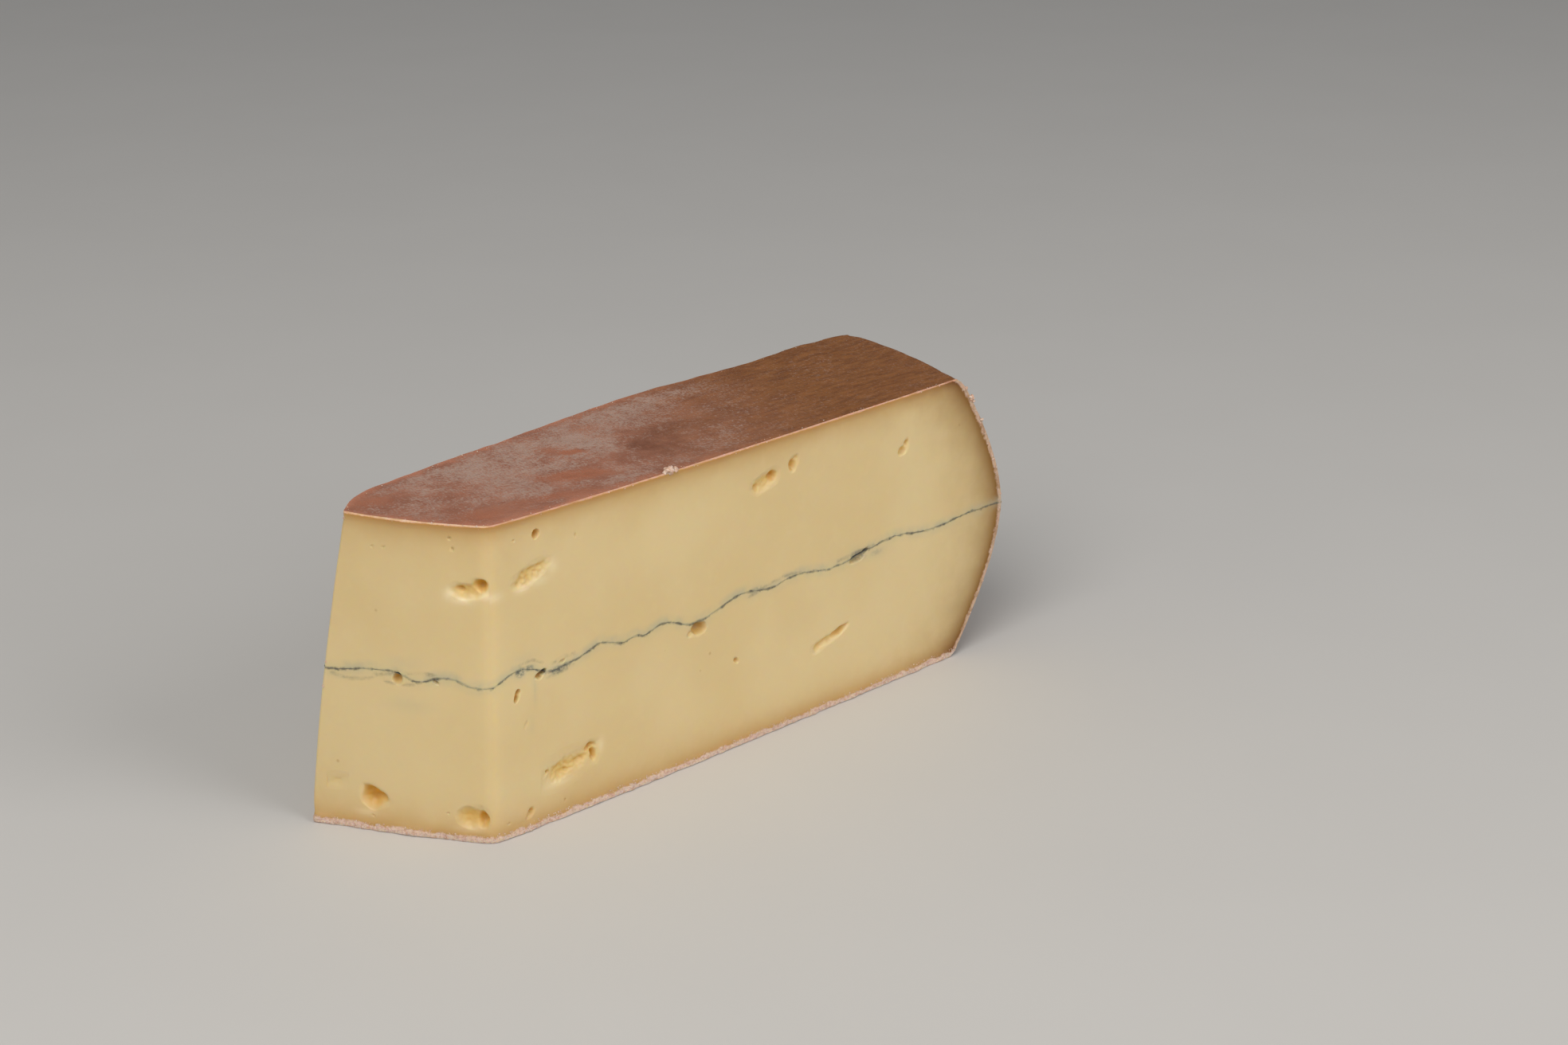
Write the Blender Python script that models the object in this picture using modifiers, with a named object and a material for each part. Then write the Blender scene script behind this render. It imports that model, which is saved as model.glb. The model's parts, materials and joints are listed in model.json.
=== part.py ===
"""A wedge of washed-rind cheese with a thin layer of ash through its middle.

It is made as the real one is. A wheel is turned, three knife cuts take the wedge out of it,
the ash layer parts the paste into two halves, and the eyes are scooped out of the cut faces.

Lengths are in metres and +Z is up. The shapes are drawn in the cutting frame: its origin is
on the base, below the top of the upright edge where the long front cut meets the nose cut,
+X runs along the front cut towards the heel, and +Y runs into the cheese. An empty then
carries everything so that the middle of the wedge's base is at the world's origin.
"""

import math
import random

import bmesh
import bpy
from mathutils import Matrix, Vector, noise

MM = 0.001

# The wheel that the wedge was cut from
WHEEL_HEIGHT = 70 * MM
WHEEL_RADIUS = 183.5 * MM
WHEEL_CENTRE = Vector((-22.4 * MM, 53 * MM))
HEEL_BULGE = 15.2 * MM
HEEL_BULGE_POWER = 1.6
SHOULDER_DROP = 2.5 * MM
SHOULDER_INSET = 1.5 * MM
WHEEL_STEPS = 140
HEEL_ROWS = (0, 0.5 * MM, 1.3 * MM, 2.5 * MM, 4.5 * MM, 8 * MM, 12 * MM, 17 * MM, 23 * MM, 29 * MM)
TOP_CROWN = 1.1 * MM
CROWN_FULLNESS = 1.26
CROWN_RISE = 1.5

# The three knife cuts. The back line gives the back cut's run at the top: (along the front, sideways),
# both from where it leaves the nose
NEAR_EDGE_FOOT = Vector((-1.2 * MM, 0.9 * MM))
FRONT_BOW = 1.2 * MM
FRONT_BOW_FULLNESS = 1.3
FRONT_BOW_LEAN = 0.6
NOSE_BOW = 1.2 * MM
BOW_LEFT_AT_FOOT = 0.5
NOSE_HEADING = math.radians(120)
NOSE_LENGTH_BOTTOM = 41.0 * MM
NOSE_LENGTH_TOP = 30.8 * MM
NOSE_SWELL = 0.9 * MM
BACK_HEADING = math.radians(5.6)
BACK_LINE = (
    (0, 0), (7, 5.2), (23, 7.7), (43, 9.1), (66, 11.7), (89, 13.9), (106, 13.6), (123, 14.0),
    (140, 15.7), (150, 16.2), (195, 18.5),
)
BACK_LEAN_LOST = 4.7 * MM
CUT_REACH = 176 * MM
CUT_MARGIN = 6 * MM
CORNER_SPAN = 1.3 * MM
CORNER_ROUNDING = 0.4 * MM
CUT_RANKS = (0.0, 0.035, 0.17, 0.33, 0.5, 0.67, 0.83, 0.965, 1.0)

# The rind's lip, which the knife leaves standing a little proud of the paste
LIP_PROUD_BOTTOM = 0.55 * MM
LIP_PROUD_TOP = 0.25 * MM
LIP_RAGGED = 0.45
LIP_PITCH = 4.4 * MM
RAG_SEEDS = {"front": 1, "back": 5, "nose": 9}
FOOT_TUCK = 1.8 * MM
LIP_ROWS = (0.7 * MM, 1.7 * MM, 2.6 * MM, 7 * MM)
TOP_LIP_ROWS = (1.6 * MM, 0.7 * MM)

# The ash layer, and how high its line runs on the two cuts that show: (along the cut, height)
ASH_THICKNESS = 0.7 * MM
ASH_GAP = 0.3 * MM
ASH_MEAN_HEIGHT = 35.6 * MM
ASH_GRID_ALONG = 3.5 * MM
ASH_GRID_ACROSS = 4.8 * MM
FRONT_ASH_LINE = (
    (0, 34.8), (4, 36.7), (7, 37.0), (10, 36.2), (14, 34.6), (20, 35.0), (24, 35.9), (27.5, 36.9),
    (33, 35.3), (37, 35.6), (40, 35.2), (45, 36.2), (53, 33.6), (60, 34.6), (68, 36.4), (76, 35.2),
    (85, 36.1), (96, 34.4), (106, 35.6), (116, 36.6), (128, 35.0), (141, 35.6), (160, 35.2),
)
NOSE_ASH_LINE = (
    (0, 34.8), (5, 34.9), (8, 36.1), (12, 36.2), (16, 35.0), (19, 35.9), (22, 36.6), (26, 36.6),
    (32, 35.8), (37, 35.3), (45, 35.4),
)
BACK_ASH_WAVE = 0.9 * MM
BACK_ASH_WAVELENGTH = 27 * MM
BACK_ASH_RIPPLE = 6 * MM
ASH_LINE_EASE = 0.4 * MM
SEAM_REACH_ALONG = (-40 * MM, 186 * MM)
SEAM_REACH_ACROSS = (-10 * MM, 70 * MM)

# Eyes: (along the cut, height, width, height of the eye, depth, tilt in degrees), in mm
FRONT_EYES = (
    (11.3, 65.5, 2.1, 2.4, 2.6, -20),
    (9.9, 57.5, 9.4, 3.4, 1.3, 14),
    (14.8, 34.9, 3.4, 1.6, 1.8, 28),
    (5.6, 31.6, 1.6, 3.5, 2.6, -20),
    (18.2, 11.4, 12.0, 4.4, 1.1, 9),
    (25.0, 12.3, 2.6, 4.6, 2.2, -4),
    (8.3, 4.7, 1.9, 2.6, 1.6, -25),
    (55.0, 32.0, 4.6, 3.2, 2.8, -8),
    (73.0, 60.5, 6.2, 4.2, 2.0, 12),
    (82.5, 62.6, 4.0, 3.4, 2.6, -15),
    (96.0, 17.5, 9.5, 2.8, 2.2, 14),
    (103.5, 34.6, 5.2, 2.2, 1.8, 8),
    (118.0, 57.0, 3.6, 2.8, 1.8, 30),
    (66.0, 21.0, 3.0, 2.2, 1.6, -20),
)
NOSE_EYES = (
    (5.0, 55.8, 5.4, 3.2, 1.2, 4),
    (2.3, 57.0, 2.8, 2.6, 2.4, 0),
    (20.8, 34.3, 2.2, 2.9, 2.0, -20),
    (11.9, 35.0, 1.9, 1.6, 1.5, 15),
    (27.4, 7.6, 5.6, 5.4, 2.4, -18),
    (6.9, 5.5, 5.2, 4.8, 1.2, 0),
    (3.4, 5.4, 3.2, 4.0, 2.6, 0),
)
BACK_EYES = (
    (24.0, 53.0, 6.0, 4.6, 2.2, 12),
    (41.0, 19.0, 4.2, 3.4, 2.0, -10),
    (58.0, 60.0, 3.2, 2.6, 1.6, 20),
    (79.0, 24.0, 8.4, 3.0, 1.9, 16),
    (97.0, 55.0, 4.4, 4.0, 2.2, -8),
    (112.0, 12.5, 3.8, 3.2, 1.8, 0),
    (128.0, 44.0, 3.4, 2.6, 1.8, 15),
)
EYE_RAISED = 0.25
EYE_UNEVEN = 0.16
LARGE_EYE = 7.0

PASTE_COLOUR = (0.86, 0.74, 0.47, 1)
ASH_COLOUR = (0.10, 0.12, 0.14, 1)


# ---------------------------------------------------------------- the rules of the shape


def along(heading):
    """The unit vector at this heading in the plan."""
    return Vector((math.cos(heading), math.sin(heading)))


def left_of(direction):
    """The plan direction a quarter turn to the left."""
    return Vector((-direction.y, direction.x))


def value_on(line, distance):
    """Reads a line of (distance, value) pairs in millimetres along a smooth curve through them."""
    distance = min(max(distance / MM, line[0][0]), line[-1][0])
    low = max(k for k in range(len(line) - 1) if line[k][0] <= distance)
    (start, first), (end, second) = line[low], line[low + 1]
    slopes = []
    for k in (low, low + 1):
        before, after = line[max(0, k - 1)], line[min(len(line) - 1, k + 1)]
        slopes.append((after[1] - before[1]) / (after[0] - before[0]) * (end - start))
    t = (distance - start) / (end - start)
    value = first * (1 + 2 * t) * (1 - t) ** 2 + second * t * t * (3 - 2 * t)
    return (value + slopes[0] * t * (1 - t) ** 2 - slopes[1] * t * t * (1 - t)) * MM


def near_edge(z):
    """Where the front cut meets the nose cut: the foot stands out a little."""
    return NEAR_EDGE_FOOT * (1 - z / WHEEL_HEIGHT)


def tip_of_nose(z):
    """Where the nose cut meets the back cut: the foot has slumped out, so it leans and swells."""
    share = min(max(z / WHEEL_HEIGHT, 0.0), 1.0)
    length = NOSE_LENGTH_BOTTOM + (NOSE_LENGTH_TOP - NOSE_LENGTH_BOTTOM) * z / WHEEL_HEIGHT
    return near_edge(z) + along(NOSE_HEADING) * (length + NOSE_SWELL * math.sin(math.pi * share))


def cut_plan(u, v, z):
    """The plan point of the cheese between the cuts: u from nose to heel, v from front to back."""
    low = 1 - z / WHEEL_HEIGHT
    bow_share = 1 - (1 - BOW_LEFT_AT_FOOT) * low
    edge, tip = near_edge(z), tip_of_nose(z)
    bow_run = min(1, u * FRONT_BOW_FULLNESS) ** FRONT_BOW_LEAN
    bulge = math.sin(math.pi * bow_run) * FRONT_BOW * bow_share
    front = Vector((edge.x + (CUT_REACH - edge.x) * u, edge.y * (1 - u) - bulge))
    run = (CUT_REACH - tip.x) * u
    back = tip + Vector((run, value_on(BACK_LINE, run) - BACK_LEAN_LOST * low * u))
    point = front.lerp(back, v)
    if u == 0:
        point += left_of(along(NOSE_HEADING)) * NOSE_BOW * math.sin(math.pi * v) * bow_share
    return point


def top_height(u, v):
    """The height of the wedge's top, which stands a little higher half way along the back cut."""
    return WHEEL_HEIGHT + TOP_CROWN * math.sin(math.pi * min(1, u * CROWN_FULLNESS)) * v**CROWN_RISE


def rounded_corner(point, z):
    """The plan point pulled in where it is on the upright edge between the front and the nose."""
    if (point - near_edge(z)).length > MM / 10:
        return point
    inward = (Vector((1, 0)) + along(NOSE_HEADING)).normalized()
    return point + inward * CORNER_ROUNDING


def rag(place, seed):
    """A ragged value about 1, which changes every few millimetres along an edge."""
    return 1 + LIP_RAGGED * noise.noise(Vector((place / LIP_PITCH, seed, 0))) * 2


def lip(place, z, seed):
    """How far a cut face stands out at this height: a rind lip at the foot and at the top."""
    foot = max(0.0, 1 - (z / LIP_ROWS[2]) ** 2) if z > 0 else 1.0
    top = max(0.0, 1 - (WHEEL_HEIGHT - z) / TOP_LIP_ROWS[0]) if z < WHEEL_HEIGHT else 1.0
    return (LIP_PROUD_BOTTOM * foot + LIP_PROUD_TOP * top) * rag(place, seed)


def tuck(z):
    """How far the foot of the back cut draws in under the slumped paste."""
    return FOOT_TUCK * max(0.0, 1 - max(z, 0.0) / LIP_ROWS[3]) ** 2


def ash_height(x, y):
    """The middle of the ash layer: it keeps to its line on each cut and eases from one to the next."""
    place = Vector((x, y))
    nose, back = along(NOSE_HEADING), along(BACK_HEADING)
    tip = tip_of_nose(ASH_MEAN_HEIGHT)
    from_front = max(0.0, y) + ASH_LINE_EASE
    from_nose = max(0.0, place.dot(-left_of(nose))) + ASH_LINE_EASE
    from_back = max(0.0, (tip - place).dot(left_of(back))) + ASH_LINE_EASE
    wave = math.sin(2 * math.pi * x / BACK_ASH_WAVELENGTH + 1) + 0.5 * math.sin(x / BACK_ASH_RIPPLE)
    lines = (
        (from_front, value_on(FRONT_ASH_LINE, x)),
        (from_nose, value_on(NOSE_ASH_LINE, place.dot(nose))),
        (from_back, ASH_MEAN_HEIGHT + BACK_ASH_WAVE * wave),
    )
    weights = [1 / distance**2 for distance, _ in lines]
    return sum(w * height for w, (_, height) in zip(weights, lines)) / sum(weights)


# ---------------------------------------------------------------- Blender helpers


def clear_scene():
    """Removes whatever the scene starts with."""
    for obj in list(bpy.data.objects):
        bpy.data.objects.remove(obj, do_unlink=True)


def new_collection(name):
    """A new collection in the scene."""
    collection = bpy.data.collections.new(name)
    bpy.context.scene.collection.children.link(collection)
    return collection


def new_object(name, mesh, collection, parent):
    """An object in this collection, carried by the parent."""
    obj = bpy.data.objects.new(name, mesh)
    collection.objects.link(obj)
    obj.parent = parent
    return obj


def make_helper(obj):
    """Marks an object as a cutter, which isn't part of the wedge."""
    obj.hide_render = True
    obj.display_type = "WIRE"


def new_material(name, colour, roughness):
    """A plain Principled material."""
    material = bpy.data.materials.new(name)
    material.use_nodes = True
    shader = material.node_tree.nodes["Principled BSDF"]
    shader.inputs["Base Color"].default_value = colour
    shader.inputs["Roughness"].default_value = roughness
    shader.inputs["Metallic"].default_value = 0
    material.diffuse_color = colour
    return material


def cube_grid(cuts_x, cuts_y, cuts_z, place):
    """A cube primitive cut into a grid, each vertex moved to place(u, v, w), which run from 0 to 1."""
    mesh = bpy.data.meshes.new("grid")
    bm = bmesh.new()
    bmesh.ops.create_cube(bm, size=1, matrix=Matrix.Translation((0.5, 0.5, 0.5)))
    for axis, cuts in enumerate((cuts_x, cuts_y, cuts_z)):
        if cuts:
            spans = [e for e in bm.edges if abs((e.verts[0].co - e.verts[1].co)[axis]) > 0.5]
            bmesh.ops.subdivide_edges(bm, edges=spans, cuts=cuts, use_grid_fill=True)
    for vertex in bm.verts:
        vertex.co = place(*vertex.co)
    bmesh.ops.triangulate(bm, faces=bm.faces)
    bmesh.ops.recalc_face_normals(bm, faces=bm.faces)
    bm.to_mesh(mesh)
    bm.free()
    return mesh


def boolean(obj, operation, cutter=None, collection=None):
    """Adds a Boolean modifier that uses one cutter, or a whole collection of them."""
    modifier = obj.modifiers.new(operation.title(), "BOOLEAN")
    modifier.operation = operation
    modifier.solver = "EXACT"
    if collection is None:
        modifier.object = cutter
    else:
        modifier.operand_type = "COLLECTION"
        modifier.collection = collection


# ---------------------------------------------------------------- the pieces


def heel_radius(to_face):
    """The wheel's radius where its side is this far from the nearer of its two faces."""
    from_middle = 1 - 2 * to_face / WHEEL_HEIGHT
    radius = WHEEL_RADIUS - HEEL_BULGE * from_middle**HEEL_BULGE_POWER
    if to_face < SHOULDER_DROP:
        radius -= SHOULDER_INSET * (1 - to_face / SHOULDER_DROP) ** 2
    return radius


def wheel_profile():
    """Points (radius, height) down the wheel's side, from the middle of the top to that of the base.

    The top stands above the wedge's own, which the block between the cuts brings with its crown.
    """
    radii = [(heel_radius(to_face), to_face) for to_face in HEEL_ROWS]
    above = WHEEL_HEIGHT + CUT_MARGIN / 2
    upper = [(radius, WHEEL_HEIGHT - to_face) for radius, to_face in radii]
    middle = [(WHEEL_RADIUS, WHEEL_HEIGHT / 2)]
    return [(0, above), (radii[0][0], above), *upper, *middle, *reversed(radii), (0, 0)]


def make_wheel(collection, parent):
    """The whole wheel, a turned shape, as a cutter."""
    mesh = bpy.data.meshes.new("wheel")
    points = [(radius, 0, height) for radius, height in wheel_profile()]
    mesh.from_pydata(points, [(i, i + 1) for i in range(len(points) - 1)], [])
    wheel = new_object("wheel", mesh, collection, parent)
    wheel.location = (WHEEL_CENTRE.x, WHEEL_CENTRE.y, 0)
    screw = wheel.modifiers.new("Turn", "SCREW")
    screw.axis = "Z"
    screw.steps = screw.render_steps = WHEEL_STEPS
    screw.use_merge_vertices = True
    screw.merge_threshold = 0.0001
    make_helper(wheel)
    return wheel


def heights_of_rows():
    """The heights at which the knife's cuts have a row of points, with close rows at the rind's lips."""
    rows = [-CUT_MARGIN, 0.0, *LIP_ROWS, WHEEL_HEIGHT / 2]
    rows += [WHEEL_HEIGHT - drop for drop in TOP_LIP_ROWS]
    return [*rows, WHEEL_HEIGHT]


def knife_block():
    """The space between the three cuts and under the top, which the wheel's heel then closes."""
    rows = heights_of_rows()
    steps = round(CUT_REACH / LIP_PITCH)
    columns = [0.0, CORNER_SPAN / CUT_REACH] + [step / steps for step in range(1, steps + 1)]

    def place(u, v, w):
        u = columns[round(u * (len(columns) - 1))]
        v = CUT_RANKS[round(v * (len(CUT_RANKS) - 1))]
        z = rows[round(w * (len(rows) - 1))]
        point = rounded_corner(cut_plan(u, v, z), z)
        nose, back = along(NOSE_HEADING), along(BACK_HEADING)
        if v == 0:
            point += Vector((0, -1)) * lip(point.x, z, RAG_SEEDS["front"])
        if v == 1:
            point += left_of(back) * (lip(point.x, z, RAG_SEEDS["back"]) - tuck(z))
        if u == 0:
            point += left_of(nose) * lip(point.length, z, RAG_SEEDS["nose"])
        if z == WHEEL_HEIGHT:
            z = top_height(u, v)
        return Vector((point.x, point.y, z))

    return cube_grid(len(columns) - 2, len(CUT_RANKS) - 2, len(rows) - 2, place)


def seam_block(low, high):
    """A block wider than the wedge whose faces follow the ash layer: low and high are functions of (x, y)."""
    (start_x, end_x), (start_y, end_y) = SEAM_REACH_ALONG, SEAM_REACH_ACROSS
    columns = round((end_x - start_x) / ASH_GRID_ALONG)
    ranks = round((end_y - start_y) / ASH_GRID_ACROSS)

    def place(u, v, w):
        x = start_x + u * (end_x - start_x)
        y = start_y + v * (end_y - start_y)
        return Vector((x, y, high(x, y) if w > 0.5 else low(x, y)))

    return cube_grid(columns - 1, ranks - 1, 0, place)


def make_seam_cutters(collection, parent):
    """One block for each layer: what lies below the ash, the ash itself, and what lies above it."""
    half_slot = ASH_THICKNESS / 2 + ASH_GAP
    limits = {
        "below_ash": (lambda x, y: -2 * CUT_MARGIN, lambda x, y: ash_height(x, y) - half_slot),
        "ash_sheet": (
            lambda x, y: ash_height(x, y) - ASH_THICKNESS / 2,
            lambda x, y: ash_height(x, y) + ASH_THICKNESS / 2,
        ),
        "above_ash": (
            lambda x, y: ash_height(x, y) + half_slot,
            lambda x, y: WHEEL_HEIGHT + 2 * CUT_MARGIN,
        ),
    }
    cutters = {}
    for name, (low, high) in limits.items():
        cutters[name] = new_object(name, seam_block(low, high), collection, parent)
        make_helper(cutters[name])
    return cutters


def eye_mesh(width, height, depth, seed):
    """An uneven rounded hollow, as wide as width, as tall as height and as deep as depth."""
    mesh = bpy.data.meshes.new("eye")
    bm = bmesh.new()
    fineness = 3 if max(width, height) > LARGE_EYE * MM else 2
    bmesh.ops.create_icosphere(bm, subdivisions=fineness, radius=0.5)
    for vertex in bm.verts:
        uneven = 1 + EYE_UNEVEN * noise.noise(vertex.co * 3 + Vector((seed * 7.3, 0, 0))) * 2
        x, y, z = vertex.co * uneven
        vertex.co = (x * width, y * depth * 2 * (1 + EYE_RAISED), z * height)
    bm.to_mesh(mesh)
    bm.free()
    return mesh


def make_eyes(collection, parent):
    """The hollows that the cuts have opened, each a rounded cutter set into its cut face."""
    draw = random.Random(11)
    nose, back = along(NOSE_HEADING), along(BACK_HEADING)
    for name, eyes in (("front", FRONT_EYES), ("nose", NOSE_EYES), ("back", BACK_EYES)):
        for number, (s, z, width, height, depth, tilt) in enumerate(eyes):
            s, z, width, height, depth = (value * MM for value in (s, z, width, height, depth))
            if name == "front":
                foot, direction = cut_plan(s / CUT_REACH, 0, z), Vector((1, 0))
            elif name == "nose":
                foot, direction = near_edge(z) + nose * s, -nose
            else:
                foot, direction = cut_plan(s / CUT_REACH, 1, z), -back
            outward = -left_of(direction)
            eye = new_object(
                f"{name}_eye_{number}", eye_mesh(width, height, depth, draw.random()), collection, parent
            )
            centre = foot + outward * depth * EYE_RAISED
            eye.location = (centre.x, centre.y, z)
            turn = math.atan2(direction.y, direction.x)
            eye.rotation_euler = (0, -math.radians(tilt), turn)
            make_helper(eye)


def make_layer(name, block, limit, wheel, eyes, material, collection, parent):
    """One layer of the wedge: the space between the cuts, inside the wheel and inside its own limits."""
    layer = new_object(name, block.copy(), collection, parent)
    layer.data.materials.append(material)
    boolean(layer, "INTERSECT", wheel)
    boolean(layer, "INTERSECT", limit)
    boolean(layer, "DIFFERENCE", collection=eyes)
    return layer


def stand_on_origin(carrier, layers):
    """Moves the carrier so that the middle of the wedge's base is at the world's origin."""
    graph = bpy.context.evaluated_depsgraph_get()
    graph.update()
    corners = []
    for layer in layers:
        evaluated = layer.evaluated_get(graph)
        corners += [evaluated.matrix_world @ v.co for v in evaluated.data.vertices]
    middle = [(min(c[axis] for c in corners) + max(c[axis] for c in corners)) / 2 for axis in (0, 1)]
    carrier.location = (-middle[0], -middle[1], 0)


def main():
    """Builds the wedge."""
    clear_scene()
    wedge = new_collection("cheese_wedge")
    cutters = new_collection("cutters")
    eyes = new_collection("eye_cutters")
    carrier = new_object("carrier", None, wedge, None)

    wheel = make_wheel(cutters, carrier)
    limits = make_seam_cutters(cutters, carrier)
    make_eyes(eyes, carrier)

    paste = new_material("paste", PASTE_COLOUR, 0.5)
    ash = new_material("ash", ASH_COLOUR, 0.8)
    block = knife_block()
    layers = [
        make_layer("lower_half", block, limits["below_ash"], wheel, eyes, paste, wedge, carrier),
        make_layer("ash_layer", block, limits["ash_sheet"], wheel, eyes, ash, wedge, carrier),
        make_layer("upper_half", block, limits["above_ash"], wheel, eyes, paste, wedge, carrier),
    ]
    bpy.data.meshes.remove(block)
    stand_on_origin(carrier, layers)


main()
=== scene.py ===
"""A wedge of washed-rind cheese with a thin ash layer: its surfaces, finishes, light and camera.

The wedge is drawn in millimetres in the cutting frame. Its origin is on the base, below the top
of the upright edge where the long front cut meets the nose cut; +X runs along the front cut
towards the heel and +Y runs into the cheese. ``to_world`` carries a drawn point into the frame
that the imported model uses.

The two halves of the paste are closed skins with the rind, the lips that the knife leaves and the
eyes in them. The ash is a thin uneven sheet between them, and the crumbs of the rind are strewn
along its cut edges with Geometry Nodes.
"""

import json
import logging
import math
import random
from dataclasses import dataclass, field
from enum import Enum
from typing import Any, Callable, ClassVar, Sequence

import bmesh
import bpy
import numpy as np
from mathutils import Matrix, Vector, noise

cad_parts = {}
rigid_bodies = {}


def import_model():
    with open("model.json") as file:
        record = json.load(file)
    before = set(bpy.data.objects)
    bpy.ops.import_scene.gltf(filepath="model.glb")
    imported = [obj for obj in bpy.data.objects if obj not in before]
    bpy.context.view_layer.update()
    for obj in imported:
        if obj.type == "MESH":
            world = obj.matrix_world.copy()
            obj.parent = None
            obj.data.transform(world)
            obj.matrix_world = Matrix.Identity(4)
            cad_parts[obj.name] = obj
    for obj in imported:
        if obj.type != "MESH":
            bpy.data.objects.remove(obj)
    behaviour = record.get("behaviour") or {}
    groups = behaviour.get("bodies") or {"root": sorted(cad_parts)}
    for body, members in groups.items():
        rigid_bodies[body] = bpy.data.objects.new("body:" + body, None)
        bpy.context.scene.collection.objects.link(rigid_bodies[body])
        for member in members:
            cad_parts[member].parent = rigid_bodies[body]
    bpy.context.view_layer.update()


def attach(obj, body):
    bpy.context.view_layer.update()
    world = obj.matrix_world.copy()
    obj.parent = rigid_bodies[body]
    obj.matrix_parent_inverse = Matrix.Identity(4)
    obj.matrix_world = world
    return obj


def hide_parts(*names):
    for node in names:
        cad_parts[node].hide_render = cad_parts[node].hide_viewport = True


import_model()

LOG = logging.getLogger("cheese")
MM = 0.001
CUTTING_ORIGIN = (-69.586, -23.923)
FRONT_OUT = np.array([0.0, -1.0])
OUTSIDE_EYE = -9.0
NO_STRAND = 9.0

Colour = tuple[float, float, float]
Line = Sequence[tuple[float, float]]
Marks = tuple[tuple[float, float, float, float, float], ...]
Triples = tuple[Colour, ...]
Grain = tuple[float, float, float]
Socket = bpy.types.NodeSocket


def srgb(red: int, green: int, blue: int) -> Colour:
    """A screen colour of 0 to 255 as the linear colour that a shader takes."""
    shares = [value / 255 for value in (red, green, blue)]
    return tuple(s / 12.92 if s < 0.04045 else ((s + 0.055) / 1.055) ** 2.4 for s in shares)


def to_world(points: np.ndarray) -> np.ndarray:
    """Carries drawn points (mm, cutting frame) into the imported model's frame (m)."""
    return (points + np.array([*CUTTING_ORIGIN, 0.0])) * MM


def to_drawing(points: np.ndarray) -> np.ndarray:
    """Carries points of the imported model's frame (m) back to the drawing (mm)."""
    return points / MM - np.array([*CUTTING_ORIGIN, 0.0])


def ease(value: np.ndarray, low: float, high: float) -> np.ndarray:
    """Rises smoothly from 0 at low to 1 at high."""
    t = np.clip((value - low) / (high - low), 0, 1)
    return t * t * (3 - 2 * t)


def clouds(points: np.ndarray, size: float, seed: float = 0.0) -> np.ndarray:
    """Smooth noise of about -1 to 1.

    Args:
        points: The places, one row each, in millimetres.
        size: The width of one cloud, in millimetres.
        seed: Moves the pattern.

    Returns:
        One value for each place.
    """
    moved = points / size + np.array([seed * 17.3, seed * 5.1, seed * -9.7])
    return np.array([noise.noise(Vector(place)) for place in moved])


def layered(points: np.ndarray, layers: Triples, start: float = 0.0) -> np.ndarray:
    """Adds layers of clouds, each a (weight, size, seed), to a start value.

    Args:
        points: The places, one row each.
        layers: The layers.
        start: The value that they are added to.

    Returns:
        One value for each place.
    """
    total = np.full(len(points), start)
    for weight, size, seed in layers:
        total = total + weight * clouds(points, size, seed)
    return total


def read_line(line: Line, distance: np.ndarray) -> np.ndarray:
    """Reads a line of (distance, value) pairs along a smooth curve through them.

    Args:
        line: The pairs, in order.
        distance: Where to read it.

    Returns:
        One value for each distance.
    """
    at, values = (np.array(column, float) for column in zip(*line))
    slopes = np.gradient(values, at)
    slopes[1:-1] = (values[2:] - values[:-2]) / (at[2:] - at[:-2])
    d = np.clip(distance, at[0], at[-1])
    k = np.clip(np.searchsorted(at, d, side="right") - 1, 0, len(at) - 2)
    span = at[k + 1] - at[k]
    t = (d - at[k]) / span
    ends = values[k] * (1 + 2 * t) * (1 - t) ** 2 + values[k + 1] * t * t * (3 - 2 * t)
    return ends + span * (slopes[k] * t * (1 - t) ** 2 - slopes[k + 1] * t * t * (1 - t))


def fitted_steps(length: float, start: float, end: float, most: float, growth: float) -> np.ndarray:
    """Places from 0 to 1 along a length, close together at its ends.

    Args:
        length: The whole length, in millimetres.
        start: The step at the start.
        end: The step at the end.
        most: The widest step.
        growth: How much a step widens for each millimetre from an end.

    Returns:
        The places, from 0 to 1.
    """
    at = np.linspace(0, length, 4000)
    step = np.minimum(most, np.minimum(start + growth * at, end + growth * (length - at)))
    count = np.concatenate([[0], np.cumsum(np.diff(at) / ((step[1:] + step[:-1]) / 2))])
    return np.interp(np.linspace(0, count[-1], round(count[-1]) + 1), count, at) / length


# ---------------------------------------------------------------- the drawing of the wedge


@dataclass(frozen=True)
class Wheel:
    """The wheel that the wedge was cut from, in millimetres."""

    height: float = 70.0
    radius: float = 183.5
    centre: tuple[float, float] = (-22.4, 53.0)
    bulge: float = 15.2
    bulge_power: float = 1.6
    shoulder_drop: float = 2.5
    shoulder_inset: float = 1.5

    def radius_at(self, z: np.ndarray) -> np.ndarray:
        """The radius of the wheel's side at this height.

        Args:
            z: The heights, in millimetres.

        Returns:
            One radius for each height.
        """
        to_face = np.clip(np.minimum(z, self.height - z), 0, self.height / 2)
        radius = self.radius - self.bulge * (1 - 2 * to_face / self.height) ** self.bulge_power
        shoulder = np.clip(1 - to_face / self.shoulder_drop, 0, 1)
        return radius - self.shoulder_inset * shoulder**2

    def from_middle(self, plan: np.ndarray) -> tuple[np.ndarray, np.ndarray]:
        """How far plan points are from the wheel's middle, and their directions from it.

        Args:
            plan: Plan points, one row each.

        Returns:
            The distances, and one unit direction for each point.
        """
        away = plan - np.array(self.centre)
        length = np.linalg.norm(away, axis=-1)
        return length, away / length[..., None]


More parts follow.
